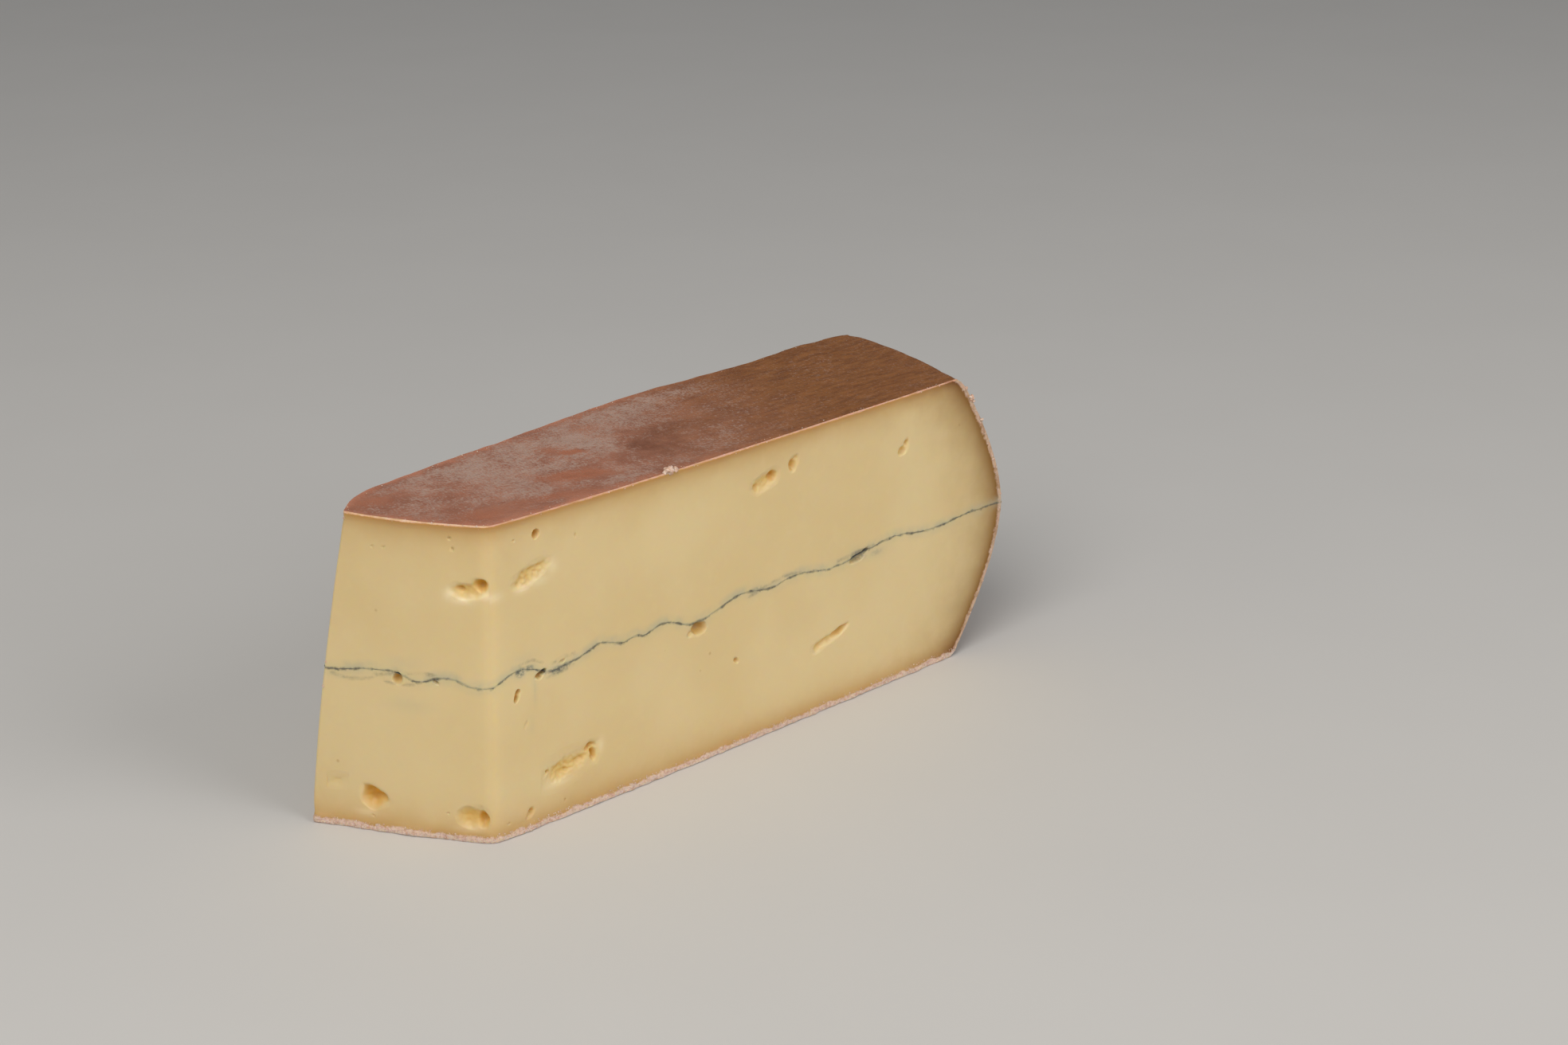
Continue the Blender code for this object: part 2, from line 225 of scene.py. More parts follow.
@dataclass(frozen=True)
class Knife:
    """The three knife cuts, and the plan between them, in millimetres."""

    wheel: Wheel
    foot_of_edge: tuple[float, float] = (-1.2, 0.9)
    front_bow: float = 1.2
    front_bow_end: float = 1.3
    front_bow_power: float = 0.6
    nose_bow: float = 1.2
    nose_heading: float = math.radians(120)
    nose_bottom: float = 41.0
    nose_top: float = 30.8
    nose_swell: float = 0.9
    nose_fade: int = 12
    heel_fade: int = 10
    heel_guess: float = 156.0
    heel_rounds: int = 12
    back_heading: float = math.radians(5.6)
    back_line: Line = (
        (0, 0), (7, 5.2), (23, 7.7), (43, 9.1), (66, 11.7), (89, 13.9), (106, 13.6), (123, 14.0),
        (140, 15.7), (150, 16.2), (195, 18.5),
    )
    back_lean: float = 4.7
    reach: float = 176.0
    foot_tuck: float = 1.8
    tuck_height: float = 7.0
    crown: float = 1.1
    crown_end: float = 1.02
    crown_power: float = 1.5
    near_rounding: tuple[float, float] = (0.5, 2.3)
    tip_rounding: tuple[float, float] = (0.35, 0.5)
    heel_rounding: tuple[float, float] = (2.2, 7.0)

    @property
    def nose_way(self) -> np.ndarray:
        """The plan direction along the nose cut."""
        return np.array([math.cos(self.nose_heading), math.sin(self.nose_heading)])

    @property
    def back_out(self) -> np.ndarray:
        """The plan direction out of the back cut."""
        return np.array([-math.sin(self.back_heading), math.cos(self.back_heading)])

    @property
    def nose_out(self) -> np.ndarray:
        """The plan direction out of the nose cut."""
        return np.array([-self.nose_way[1], self.nose_way[0]])

    def near_edge(self, z: np.ndarray) -> np.ndarray:
        """Where the front cut meets the nose cut at this height."""
        low = 1 - z / self.wheel.height
        return np.stack([self.foot_of_edge[0] * low, self.foot_of_edge[1] * low], -1)

    def tip(self, z: np.ndarray) -> np.ndarray:
        """Where the nose cut meets the back cut at this height.

        Args:
            z: The heights, in millimetres.

        Returns:
            One plan point for each height.
        """
        share = z / self.wheel.height
        length = self.nose_bottom + (self.nose_top - self.nose_bottom) * share
        length = length + self.nose_swell * np.sin(np.pi * np.clip(share, 0, 1))
        return self.near_edge(z) + length[..., None] * self.nose_way

    def front_y(self, x: np.ndarray, z: np.ndarray) -> np.ndarray:
        """The front cut's sideways place at x and z.

        Args:
            x: How far along the front cut.
            z: The heights, in millimetres.

        Returns:
            One y for each place.
        """
        low, edge = 1 - z / self.wheel.height, self.near_edge(z)
        u = np.clip((x - edge[..., 0]) / (self.reach - edge[..., 0]), 0, 1)
        along = np.minimum(1, u * self.front_bow_end) ** self.front_bow_power
        bulge = np.sin(np.pi * along) * self.front_bow * (1 - 0.5 * low)
        return edge[..., 1] * (1 - u) - bulge

    def back_y(self, x: np.ndarray, z: np.ndarray) -> np.ndarray:
        """The back cut's sideways place at x and z.

        Args:
            x: How far along the front cut.
            z: The heights, in millimetres.

        Returns:
            One y for each place.
        """
        low, tip = 1 - z / self.wheel.height, self.tip(z)
        run = x - tip[..., 0]
        share = np.clip(run / (self.reach - tip[..., 0]), 0, 1)
        tuck = self.foot_tuck * np.clip(1 - np.maximum(z, 0) / self.tuck_height, 0, 1) ** 2
        return tip[..., 1] + read_line(self.back_line, run) - self.back_lean * low * share - tuck

    def heel_point(self, side: Callable, z: np.ndarray) -> np.ndarray:
        """Where a cut (front_y or back_y) meets the wheel's side.

        Args:
            side: The cut.
            z: The heights, in millimetres.

        Returns:
            One plan point for each height.
        """
        radius = self.wheel.radius_at(z)
        x = np.full_like(z, self.heel_guess)
        for _ in range(self.heel_rounds):
            across = side(x, z) - self.wheel.centre[1]
            x = self.wheel.centre[0] + np.sqrt(radius**2 - across**2)
        return np.stack([x, side(x, z)], -1)

    def nose_bow_at(self, share: np.ndarray, z: np.ndarray) -> np.ndarray:
        """How far the nose cut stands out at a share of its length."""
        return self.nose_bow * np.sin(np.pi * share) * (0.5 + 0.5 * z / self.wheel.height)

    def corners(self, z: np.ndarray) -> list[tuple[np.ndarray, np.ndarray, tuple[float, float]]]:
        """The upright corners: place, way in, and how far and how widely each is rounded.

        Args:
            z: The heights, in millimetres.

        Returns:
            One row for each of the three corners that are rounded.
        """
        back_way = np.array([self.back_out[1], -self.back_out[0]])
        return [
            (self.near_edge(z), np.array([1.0, 0.0]) + self.nose_way, self.near_rounding),
            (self.tip(z), back_way - self.nose_way, self.tip_rounding),
            (self.heel_point(self.back_y, z), np.array([-1.0, -1.0]), self.heel_rounding),
        ]

    @staticmethod
    def drawn_in(plan: np.ndarray, corner: np.ndarray, rounding: tuple[float, float]) -> np.ndarray:
        """How far a corner's rounding draws plan points in."""
        most, reach = rounding
        return most * np.clip(1 - np.linalg.norm(plan - corner, axis=-1) / reach, 0, 1) ** 2

    def plan(self, t: np.ndarray, v: np.ndarray, z: np.ndarray) -> np.ndarray:
        """The plan point at t from nose to heel, v from front to back, at height z.

        Args:
            t: The share of the way from nose to heel.
            v: The share of the way from front to back.
            z: The heights, in millimetres.

        Returns:
            The plan points, one row each.
        """
        edge, tip = self.near_edge(z), self.tip(z)
        front_end, back_end = self.heel_point(self.front_y, z), self.heel_point(self.back_y, z)
        front_x = edge[..., 0] + (front_end[..., 0] - edge[..., 0]) * t
        back_x = tip[..., 0] + (back_end[..., 0] - tip[..., 0]) * t
        front = np.stack([front_x, self.front_y(front_x, z)], -1)
        back = np.stack([back_x, self.back_y(back_x, z)], -1)
        point = front + (back - front) * v[..., None]
        bow = self.nose_bow_at(v, z)
        point += (bow * (1 - t) ** self.nose_fade)[..., None] * self.nose_out
        centre = np.array(self.wheel.centre)
        start, end = (
            np.arctan2(p[..., 1] - centre[1], p[..., 0] - centre[0]) for p in (front_end, back_end)
        )
        turn = start + (end - start) * v
        rim = np.stack([np.cos(turn), np.sin(turn)], -1) * self.wheel.radius_at(z)[..., None]
        chord = front_end + (back_end - front_end) * v[..., None]
        point += (centre + rim - chord) * (t**self.heel_fade)[..., None]
        for corner, ways, rounding in self.corners(z):
            inward = ways / np.linalg.norm(ways)
            point += self.drawn_in(point, corner, rounding)[..., None] * inward
        return point

    def top(self, t: np.ndarray, v: np.ndarray) -> np.ndarray:
        """The height of the wedge's top, which stands a little higher along the back cut."""
        along = np.sin(np.pi * np.minimum(1, t * self.crown_end))
        return self.wheel.height + self.crown * along * v**self.crown_power

    def depth_below(self, points: np.ndarray) -> np.ndarray:
        """How far points lie inside the nearest cut face, in millimetres.

        Args:
            points: The places, one row each.

        Returns:
            One depth for each place.
        """
        x, y, z = points.T
        front = y - self.front_y(x, z)
        back = (self.back_y(x, z) - y) * math.cos(self.back_heading)
        edge = self.near_edge(z)
        ways = points[:, :2] - edge
        length = np.linalg.norm(self.tip(z) - edge, axis=-1)
        bow = self.nose_bow_at(np.clip(ways @ self.nose_way / length, 0, 1), z)
        depth = np.minimum(np.minimum(front, back), bow - ways @ self.nose_out)
        for corner, _, rounding in self.corners(z):
            depth = depth - self.drawn_in(points[:, :2], corner, rounding)
        return depth


@dataclass(frozen=True)
class AshSeam:
    """The course and the thickness of the ash layer, in millimetres."""

    knife: Knife
    mean: float = 35.6
    front_line: Line = (
        (0, 34.8), (4, 36.7), (7, 37.0), (10, 36.2), (14, 34.6), (20, 35.0), (24, 35.9),
        (27.5, 36.9), (33, 35.3), (37, 35.6), (40, 35.2), (45, 36.2), (53, 33.6), (60, 34.6),
        (68, 36.4), (76, 35.2), (85, 36.1), (96, 34.4), (106, 35.6), (116, 36.6), (128, 35.0),
        (141, 35.6), (160, 35.2),
    )
    nose_line: Line = (
        (0, 34.8), (5, 34.9), (8, 36.1), (12, 36.2), (16, 35.0), (19, 35.9), (22, 36.6),
        (26, 36.6), (32, 35.8), (37, 35.3), (45, 35.4),
    )
    back_wave: float = 0.9
    back_wavelength: float = 27.0
    back_ripple: float = 6.0
    nearest: float = 0.4
    shaky: float = 0.22
    shake: Triples = ((1.0, 2.6, 14.0), (0.5, 1.1, 15.0))
    thinnest: float = 0.015
    thickest: float = 0.24
    swell_start: float = 0.45
    swell: Triples = ((0.6, 3.4, 4.0), (0.35, 1.3, 6.0))
    starts_by_heel: float = 0.6
    ends_before_heel: float = 2.5

    def height_at(self, place: np.ndarray) -> np.ndarray:
        """The middle of the layer at plan points.

        Args:
            place: The plan points, one row each.

        Returns:
            One height for each point.
        """
        x, y = place[:, 0], place[:, 1]
        knife = self.knife
        from_front = np.maximum(0, y) + self.nearest
        from_nose = np.maximum(0, -(place @ knife.nose_out)) + self.nearest
        tip = knife.tip(np.array(self.mean))
        from_back = np.maximum(0, (tip - place) @ knife.back_out) + self.nearest
        wave = np.sin(2 * np.pi * x / self.back_wavelength + 1) + 0.5 * np.sin(x / self.back_ripple)
        lines = (
            (from_front, read_line(self.front_line, x)),
            (from_nose, read_line(self.nose_line, place @ knife.nose_way)),
            (from_back, self.mean + self.back_wave * wave),
        )
        weights = [distance**-2.0 for distance, _ in lines]
        middle = sum(w * height for w, (_, height) in zip(weights, lines)) / sum(weights)
        return middle + self.shaky * layered(np.column_stack([place, 0 * x]), self.shake)

    def thickness_at(self, place: np.ndarray) -> np.ndarray:
        """The thickness of the layer at plan points, which runs out before the heel.

        Args:
            place: The plan points, one row each.

        Returns:
            One thickness for each point.
        """
        flat = np.column_stack([place, np.zeros(len(place))])
        share = np.clip(layered(flat, self.swell, self.swell_start), 0, 1) ** 3
        radius = self.knife.wheel.radius_at(np.full(len(place), self.mean))
        from_heel = radius - self.knife.wheel.from_middle(place)[0]
        runs_out = ease(from_heel, self.starts_by_heel, self.ends_before_heel)
        return (self.thinnest + (self.thickest - self.thinnest) * share) * runs_out


class Side(Enum):
    """The faces of a closed block of cheese; each value is (axis of the grid, end)."""

    NOSE = (0, 0)
    HEEL = (0, 1)
    FRONT = (1, 0)
    BACK = (1, 1)
    LOW = (2, 0)
    HIGH = (2, 1)


@dataclass
class Block:
    """The skin of a block that is cut into a grid, with no inner points."""

    along: np.ndarray
    across: np.ndarray
    upward: np.ndarray

    def __post_init__(self) -> None:
        """Numbers the points of the skin."""
        shape = (len(self.along), len(self.across), len(self.upward))
        inside = np.zeros(shape, bool)
        inside[1:-1, 1:-1, 1:-1] = True
        self.numbers = np.full(shape, -1)
        self.places = np.argwhere(~inside)
        self.numbers[tuple(self.places.T)] = np.arange(len(self.places))
        self.t = self.along[self.places[:, 0]]
        self.v = self.across[self.places[:, 1]]
        self.w = self.upward[self.places[:, 2]]

    def on(self, *sides: Side) -> np.ndarray:
        """Which points lie on any of some sides.

        Args:
            *sides: The sides.

        Returns:
            True for each point on one of them.
        """
        found = np.zeros(len(self.places), bool)
        for side in sides:
            axis, end = side.value
            found |= self.places[:, axis] == end * (self.numbers.shape[axis] - 1)
        return found

    def faces(self, *sides: Side) -> np.ndarray:
        """The four-sided faces of some sides, turned outwards.

        Args:
            *sides: The sides.

        Returns:
            The four points of each face, one row each.
        """
        found = []
        for side in sides:
            axis, end = side.value
            layer = np.take(self.numbers, -end, axis=axis)
            corners = [layer[:-1, :-1], layer[1:, :-1], layer[1:, 1:], layer[:-1, 1:]]
            outward = end == (0 if axis == 1 else 1)
            stack = np.stack([c.ravel() for c in corners], -1)
            found.append(stack if outward else stack[:, ::-1])
        return np.concatenate(found)


def new_object(name: str, mesh: bpy.types.ID | None) -> bpy.types.Object:
    """Makes an object and puts it into the scene.

    Args:
        name: The object's name.
        mesh: What it shows.

    Returns:
        The object.
    """
    obj = bpy.data.objects.new(name, mesh)
    bpy.context.scene.collection.objects.link(obj)
    return obj


def apply_modifiers(obj: bpy.types.Object) -> None:
    """Replaces an object's mesh by what its modifiers make of it.

    Args:
        obj: The object, which keeps its name and loses its modifiers.
    """
    bpy.context.view_layer.update()
    graph = bpy.context.evaluated_depsgraph_get()
    mesh = bpy.data.meshes.new_from_object(obj.evaluated_get(graph), depsgraph=graph)
    obj.modifiers.clear()
    obj.data = mesh


def column(items: Any, name: str, kind: type, width: int = 1) -> np.ndarray:
    """Reads one property of all items of a mesh, as one row or value each.

    Args:
        items: The items.
        name: The property.
        kind: The type of its numbers.
        width: How many numbers it has.

    Returns:
        The values.
    """
    flat = np.empty(len(items) * width, kind)
    items.foreach_get(name, flat)
    return flat if width == 1 else flat.reshape(-1, width)


def write_attribute(mesh: bpy.types.Mesh, name: str, values: np.ndarray) -> None:
    """Writes one value, or one vector, for each point of a mesh.

    Args:
        mesh: The mesh.
        name: The attribute's name.
        values: One value or row for each point.
    """
    kind, part = ("FLOAT", "value") if values.ndim == 1 else ("FLOAT_VECTOR", "vector")
    data = mesh.attributes.new(name, kind, "POINT").data
    data.foreach_set(part, values.astype(np.float32).ravel())


def build_mesh(
    name: str, points: np.ndarray, faces: np.ndarray, slots: np.ndarray
) -> bpy.types.Mesh:
    """Makes a mesh of four-sided or three-sided faces.

    Args:
        name: The mesh's name.
        points: The points, in millimetres, in the cutting frame.
        faces: The corners of each face, one row each.
        slots: The material slot of each face.

    Returns:
        The mesh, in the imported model's frame.
    """
    mesh = bpy.data.meshes.new(name)
    mesh.from_pydata(to_world(points).tolist(), [], faces.tolist())
    mesh.polygons.foreach_set("material_index", slots.astype(np.int32))
    mesh.polygons.foreach_set("use_smooth", np.ones(len(faces), bool))
    mesh.update()
    return mesh


def mesh_points(mesh: bpy.types.Mesh) -> np.ndarray:
    """The points of a mesh, in millimetres, in the cutting frame."""
    return to_drawing(column(mesh.vertices, "co", np.float32, 3).astype(float))


def outward_at(points: np.ndarray, faces: np.ndarray) -> np.ndarray:
    """The outward direction at each point of a closed skin of four-sided faces.

    Args:
        points: The places, one row each.
        faces: The four points of each face.

    Returns:
        One unit direction for each point.
    """
    a, b, c, d = (points[faces[:, k]] for k in range(4))
    normal = np.cross(c - a, d - b)
    total = np.zeros_like(points)
    for k in range(4):
        np.add.at(total, faces[:, k], normal)
    return total / np.maximum(np.linalg.norm(total, axis=1, keepdims=True), 1e-12)


def relax(points: np.ndarray, faces: np.ndarray, share: np.ndarray, rounds: int) -> np.ndarray:
    """Rounds a skin's edges by moving points towards the middle of their neighbours.

    Args:
        points: The skin's points.
        faces: Its four-sided faces.
        share: How far each point moves in a round, from 0 to 1.
        rounds: How many rounds.

    Returns:
        The moved points.
    """
    ends = np.concatenate([faces[:, [k, (k + 1) % 4]] for k in range(4)])
    count = np.bincount(ends[:, 0], minlength=len(points))[:, None]
    moved = points.copy()
    for _ in range(rounds):
        total = np.zeros_like(moved)
        np.add.at(total, ends[:, 0], moved[ends[:, 1]])
        moved += (total / count - moved) * share[:, None]
    return moved


# ---------------------------------------------------------------- finishes


@dataclass
class Bench:
    """Adds nodes to a tree and joins them."""

    tree: bpy.types.NodeTree

    def add(self, kind: str, inputs: dict | None = None, **settings: Any) -> bpy.types.Node:
        """Adds a node.

        Args:
            kind: The node's type name.
            inputs: What goes into its sockets, by name or number: a socket or a value.
            **settings: Its properties.

        Returns:
            The node.
        """
        node = self.tree.nodes.new(kind)
        for name, value in settings.items():
            setattr(node, name, value)
        for name, value in (inputs or {}).items():
            self.feed(node.inputs[name], value)
        return node

    def feed(self, socket: bpy.types.NodeSocket, value: Any) -> None:
        """Joins a socket to another one, or sets its value.

        Args:
            socket: The input.
            value: An output to join it to, or a plain value.
        """
        if isinstance(value, bpy.types.NodeSocket):
            self.tree.links.new(value, socket)
        elif isinstance(value, tuple) and len(value) == 3 and socket.type == "RGBA":
            socket.default_value = (*value, 1.0)
        else:
            socket.default_value = value

    def math(self, operation: str, *values: Any) -> Socket:
        """One step of arithmetic."""
        return self.add("ShaderNodeMath", dict(enumerate(values)), operation=operation).outputs[0]

    def times(self, first: Any, second: Any) -> Socket:
        """The product of two values."""
        return self.math("MULTIPLY", first, second)

    def line(self, value: Any, slope: Any, start: Any) -> Socket:
        """A value times a slope, added to a start."""
        return self.math("MULTIPLY_ADD", value, slope, start)

    def minus(self, first: Any, second: Any) -> Socket:
        """The first value less the second."""
        return self.math("SUBTRACT", first, second)

    def larger(self, first: Any, second: Any) -> Socket:
        """The larger of two values."""
        return self.math("MAXIMUM", first, second)

    def vector_math(self, operation: str, first: Any, second: Any) -> Socket:
        """One step of arithmetic on vectors; SCALE takes a number as its second value."""
        inputs = {0: first, "Scale" if operation == "SCALE" else 1: second}
        return self.add("ShaderNodeVectorMath", inputs, operation=operation).outputs[0]

    def rise(self, value: Any, low: Any, high: Any, start: float = 0.0, end: float = 1.0) -> Socket:
        """Rises smoothly from start, where value is low, to end, where it is high."""
        inputs = {0: value, 1: low, 2: high, 3: start, 4: end}
        return self.add("ShaderNodeMapRange", inputs, interpolation_type="SMOOTHSTEP").outputs[0]

    def mix(self, share: Any, first: Any, second: Any, blend: str = "MIX") -> Socket:
        """Mixes two colours.

        Args:
            share: The share of the second.
            first: The first.
            second: The second.
            blend: How they are blended.

        Returns:
            The mixed colour.
        """
        inputs = {0: share, 6: first, 7: second}
        settings = {"data_type": "RGBA", "blend_type": blend, "clamp_factor": True}
        return self.add("ShaderNodeMix", inputs, **settings).outputs[2]

    def noise(self, place: Any, size: float, detail: float, rough: float) -> Socket:
        """Noise from 0 to 1 whose clouds are this many millimetres wide."""
        inputs = {"Vector": place, "Scale": 1 / size, "Detail": detail, "Roughness": rough}
        return self.add("ShaderNodeTexNoise", inputs).outputs["Fac"]

    def specks(self, place: Any, apart: float, low: float, high: float) -> Socket:
        """Round specks, strewn this many millimetres apart: 1 in their middles, 0 between them."""
        near = self.add("ShaderNodeTexVoronoi", {"Vector": place, "Scale": 1 / apart}, feature="F1")
        return self.rise(near.outputs["Distance"], low, high, 1, 0)

    def attribute(self, name: str, output: str = "Fac") -> Socket:
        """A value that the mesh carries."""
        return self.add("ShaderNodeAttribute", attribute_name=name).outputs[output]

    def place_in_mm(
        self, stretch: Colour = (1.0, 1.0, 1.0), turn: float = 0.0, seed: float = 0.0
    ) -> Socket:
        """The object's own coordinates in millimetres, stretched, turned about Z and moved.

        Args:
            stretch: The stretch along each axis.
            turn: The turn, in radians.
            seed: Moves the pattern.

        Returns:
            The place.
        """
        inputs = {
            "Vector": self.add("ShaderNodeTexCoord").outputs["Object"],
            "Location": (seed * 31.7, seed * 11.3, seed * 5.9),
            "Rotation": (0.0, 0.0, turn),
            "Scale": tuple(s / MM for s in stretch),
        }
        return self.add("ShaderNodeMapping", inputs).outputs[0]

    def bump(self, height: Any, depth: float, before: Any = None) -> Socket:
        """A relief of this many millimetres where height runs from 0 to 1.

        Args:
            height: The height, from 0 to 1.
            depth: The depth, in millimetres.
            before: A relief that it is laid on.

        Returns:
            The bent normal.
        """
        inputs = {"Height": height, "Strength": 1.0, "Distance": depth * MM}
        if before is not None:
            inputs["Normal"] = before
        return self.add("ShaderNodeBump", inputs).outputs[0]


def new_shader(name: str) -> tuple[bpy.types.Material, Bench, Socket]:
    """A new material, a bench on its tree, and the place in millimetres that its patterns read.

    Args:
        name: The material's name.

    Returns:
        The three of them.
    """
    material = bpy.data.materials.new(name)
    material.use_nodes = True
    bench = Bench(material.node_tree)
    return material, bench, bench.place_in_mm()


def dress_shader(
    bench: Bench, colour: Any, roughness: Any, normal: Any = None, **constants: Any
) -> None:
    """Feeds a material's shader, and sets constants by socket name, with _ for each space.

    Args:
        bench: The bench on the tree.
        colour: The base colour.
        roughness: The roughness.
        normal: The relief, if any.
        **constants: Values of other sockets.
    """
    shader = bench.tree.nodes["Principled BSDF"]
    bench.feed(shader.inputs["Base Color"], colour)
    bench.feed(shader.inputs["Roughness"], roughness)
    if normal is not None:
        bench.feed(shader.inputs["Normal"], normal)
    for name, value in constants.items():
        shader.inputs[name.replace("_", " ")].default_value = value


@dataclass(frozen=True)
class PasteFinish:
    """The smooth waxy paste, and how it changes by the rind, in the eyes and along the ash.

    Each Grain is a noise: the size of its clouds in millimetres, its detail and its roughness.
    """

    light: Colour = srgb(226, 203, 153)
    deep: Colour = srgb(222, 197, 145)
    curdy: Colour = srgb(232, 212, 166)
    speckle: Colour = srgb(176, 132, 76)
    rim_shade: Colour = (0.68, 0.48, 0.27)
    heel_shade: Colour = (0.36, 0.22, 0.06)
    rim_line: Colour = srgb(228, 188, 160)
    front_line: Colour = srgb(214, 166, 144)
    heel_line: Colour = srgb(206, 174, 150)
    crumbly: Colour = srgb(228, 199, 180)
    crumbly_shade: Colour = srgb(207, 168, 145)
    # Painted highlight: the cream of the lips below the eyes, where light from above falls.
    cream: Colour = srgb(242, 224, 184)
    # Eye tints: partly the eyes' own golden tone, partly painted shade in their hollows; the brown
    # one is painted shade at their bottoms.
    eye_shallow: Colour = srgb(226, 192, 120)
    eye_deep: Colour = srgb(220, 164, 56)
    eye_brown_and_shade: Colour = srgb(182, 120, 36)
    ash: Colour = srgb(82, 80, 73)
    ash_blue: Colour = srgb(94, 104, 98)
    ash_halo: Colour = srgb(182, 178, 154)
    rim_reach: tuple[float, float] = (0.5, 2.8)
    heel_reach: tuple[float, float] = (1.6, 6.0)
    heel_line_wide: float = 1.5
    rim_line_wide: tuple[float, float] = (0.3, 0.38)
    fine_relief: float = 0.012
    crumbly_relief: float = 0.45
    speck_spread: tuple[float, float, float] = (13.0, 0.02, 0.045)
    speck_strength: float = 0.45
    tones: Grain = (30.0, 2.0, 0.5)
    curds: Grain = (3.2, 3.0, 0.55)
    rim_waver: Grain = (7.0, 3.0, 0.6)
    rim_rags: Grain = (1.1, 4.0, 0.7)
    rim_gaps: Grain = (1.9, 3.0, 0.6)
    pit_waver: Grain = (2.2, 2.0, 0.5)
    ash_jitter: Grain = (1.2, 4.0, 0.65)
    ash_dots: Grain = (0.9, 4.0, 0.7)
    ash_widths: Grain = (2.4, 4.0, 0.75)
    ash_grains: Grain = (0.5, 4.0, 0.75)
    ash_gaps: Grain = (3.0, 3.0, 0.65)
    halo_patches: Grain = (6.0, 3.0, 0.6)
    base_edge: Grain = (2.6, 5.0, 0.7)
    base_mottle: Grain = (0.7, 3.0, 0.65)
    fine: Grain = (0.5, 3.0, 0.6)
    lumps: Grain = (0.6, 3.0, 0.65)

    def material(self) -> bpy.types.Material:
        """Builds the paste's material.

        Returns:
            The material.
        """
        material, bench, place = new_shader("paste_cut")
        colour = self.ground(bench, place)
        colour = self.rims(bench, place, colour)
        # Painted highlights: cream patches laid on the lips below the eyes.
        colour = bench.mix(bench.attribute("cream"), colour, self.cream)
        colour = self.eyes(bench, place, colour)
        colour = self.ash_stain(bench, place, colour)
        colour, crumbly = self.base_band(bench, place, colour)
        fine = bench.bump(bench.noise(place, *self.fine), self.fine_relief)
        lumps = bench.times(crumbly, bench.noise(place, *self.lumps))
        normal = bench.bump(lumps, self.crumbly_relief, fine)
        dress_shader(
            bench, colour, bench.line(crumbly, 0.35, 0.42), normal,
            Subsurface_Weight=0.6, Subsurface_Radius=(1.0, 0.6, 0.25), Subsurface_Scale=0.0018,
            IOR=1.42, Subsurface_Anisotropy=0.3,
        )
        return material

    def ground(self, bench: Bench, place: Socket) -> Socket:
        """The paste's own colour: two close tones in soft clouds, with a few small specks.

        Args:
            bench: The bench on the tree.
            place: The place in millimetres.

        Returns:
            The colour.
        """
        tone = bench.noise(place, *self.tones)
        colour = bench.mix(bench.rise(tone, 0.35, 0.65), self.deep, self.light)
        curd = bench.noise(place, *self.curds)
        colour = bench.mix(bench.rise(curd, 0.5, 0.75, 0, 0.12), colour, self.curdy)
        speck = bench.specks(place, *self.speck_spread)
        return bench.mix(bench.times(speck, self.speck_strength), colour, self.speckle)

    def rims(self, bench: Bench, place: Socket, colour: Socket) -> Socket:
        """The warm bands inside the rind, and the thin pale line at its very edge.

        Args:
            bench: The bench on the tree.
            place: The place in millimetres.
            colour: The colour so far.

        Returns:
            The colour with its rims.
        """
        waver = bench.line(bench.noise(place, *self.rim_waver), 0.9, 0.55)
        from_rim, from_heel = bench.attribute("from_rim"), bench.attribute("from_heel")
        for distance, (start, reach), shade in (
            (from_rim, self.rim_reach, self.rim_shade),
            (from_heel, self.heel_reach, self.heel_shade),
        ):
            inside = bench.larger(bench.minus(distance, start), 0.0)
            share = bench.math("DIVIDE", inside, bench.times(waver, -reach))
            tint = bench.mix(bench.math("EXPONENT", share), (1.0, 1.0, 1.0), shade)
            colour = bench.mix(1.0, colour, tint, "MULTIPLY")
        ragged = bench.minus(bench.noise(place, *self.rim_rags), 0.5)
        on_nose = bench.attribute("on_nose")
        on_front, at_nose = self.rim_line_wide
        rim_wide = bench.line(on_nose, at_nose - on_front, on_front)
        rim_line = bench.mix(on_nose, self.front_line, self.rim_line)
        for distance, wide, line in (
            (from_heel, self.heel_line_wide, self.heel_line), (from_rim, rim_wide, rim_line),
        ):
            edge = bench.line(bench.times(ragged, wide), -1.5, distance)
            share = bench.rise(bench.math("DIVIDE", edge, wide), 0.6, 1.1, 1, 0)
            bright = bench.rise(bench.noise(place, *self.rim_gaps), 0.36, 0.56, 0.55, 1)
            colour = bench.mix(bench.times(share, bright), colour, line)
        return colour

    def eyes(self, bench: Bench, place: Socket, colour: Socket) -> Socket:
        """The eyes turn golden with their depth, partly their own tone and partly painted shade in
        the hollows, with more painted shade where they look down and a brown painted shade at their
        bottoms.

        Args:
            bench: The bench on the tree.
            place: The place in millimetres.
            colour: The colour so far.

        Returns:
            The colour with its eyes.
        """
        waver = bench.line(bench.noise(place, *self.pit_waver), 0.4, -0.2)
        pit = bench.math("ADD", bench.attribute("pit"), waver)
        # Painted shade: the golden tint goes on more where the eye walls face down, away from the
        # light above.
        shade_below = bench.attribute("overhang")
        for ramp, more, tone in (
            ((0.12, 0.7, 0, 0.9), 0.4, self.eye_shallow), ((0.45, 1.7), 0.45, self.eye_deep),
        ):
            share = bench.times(bench.rise(pit, *ramp), bench.line(shade_below, more, 1 - more))
            colour = bench.mix(share, colour, tone)
        # Painted shade: the deepest parts of the eyes turn brown.
        return bench.mix(bench.rise(pit, 1.4, 2.6, 0, 0.85), colour, self.eye_brown_and_shade)

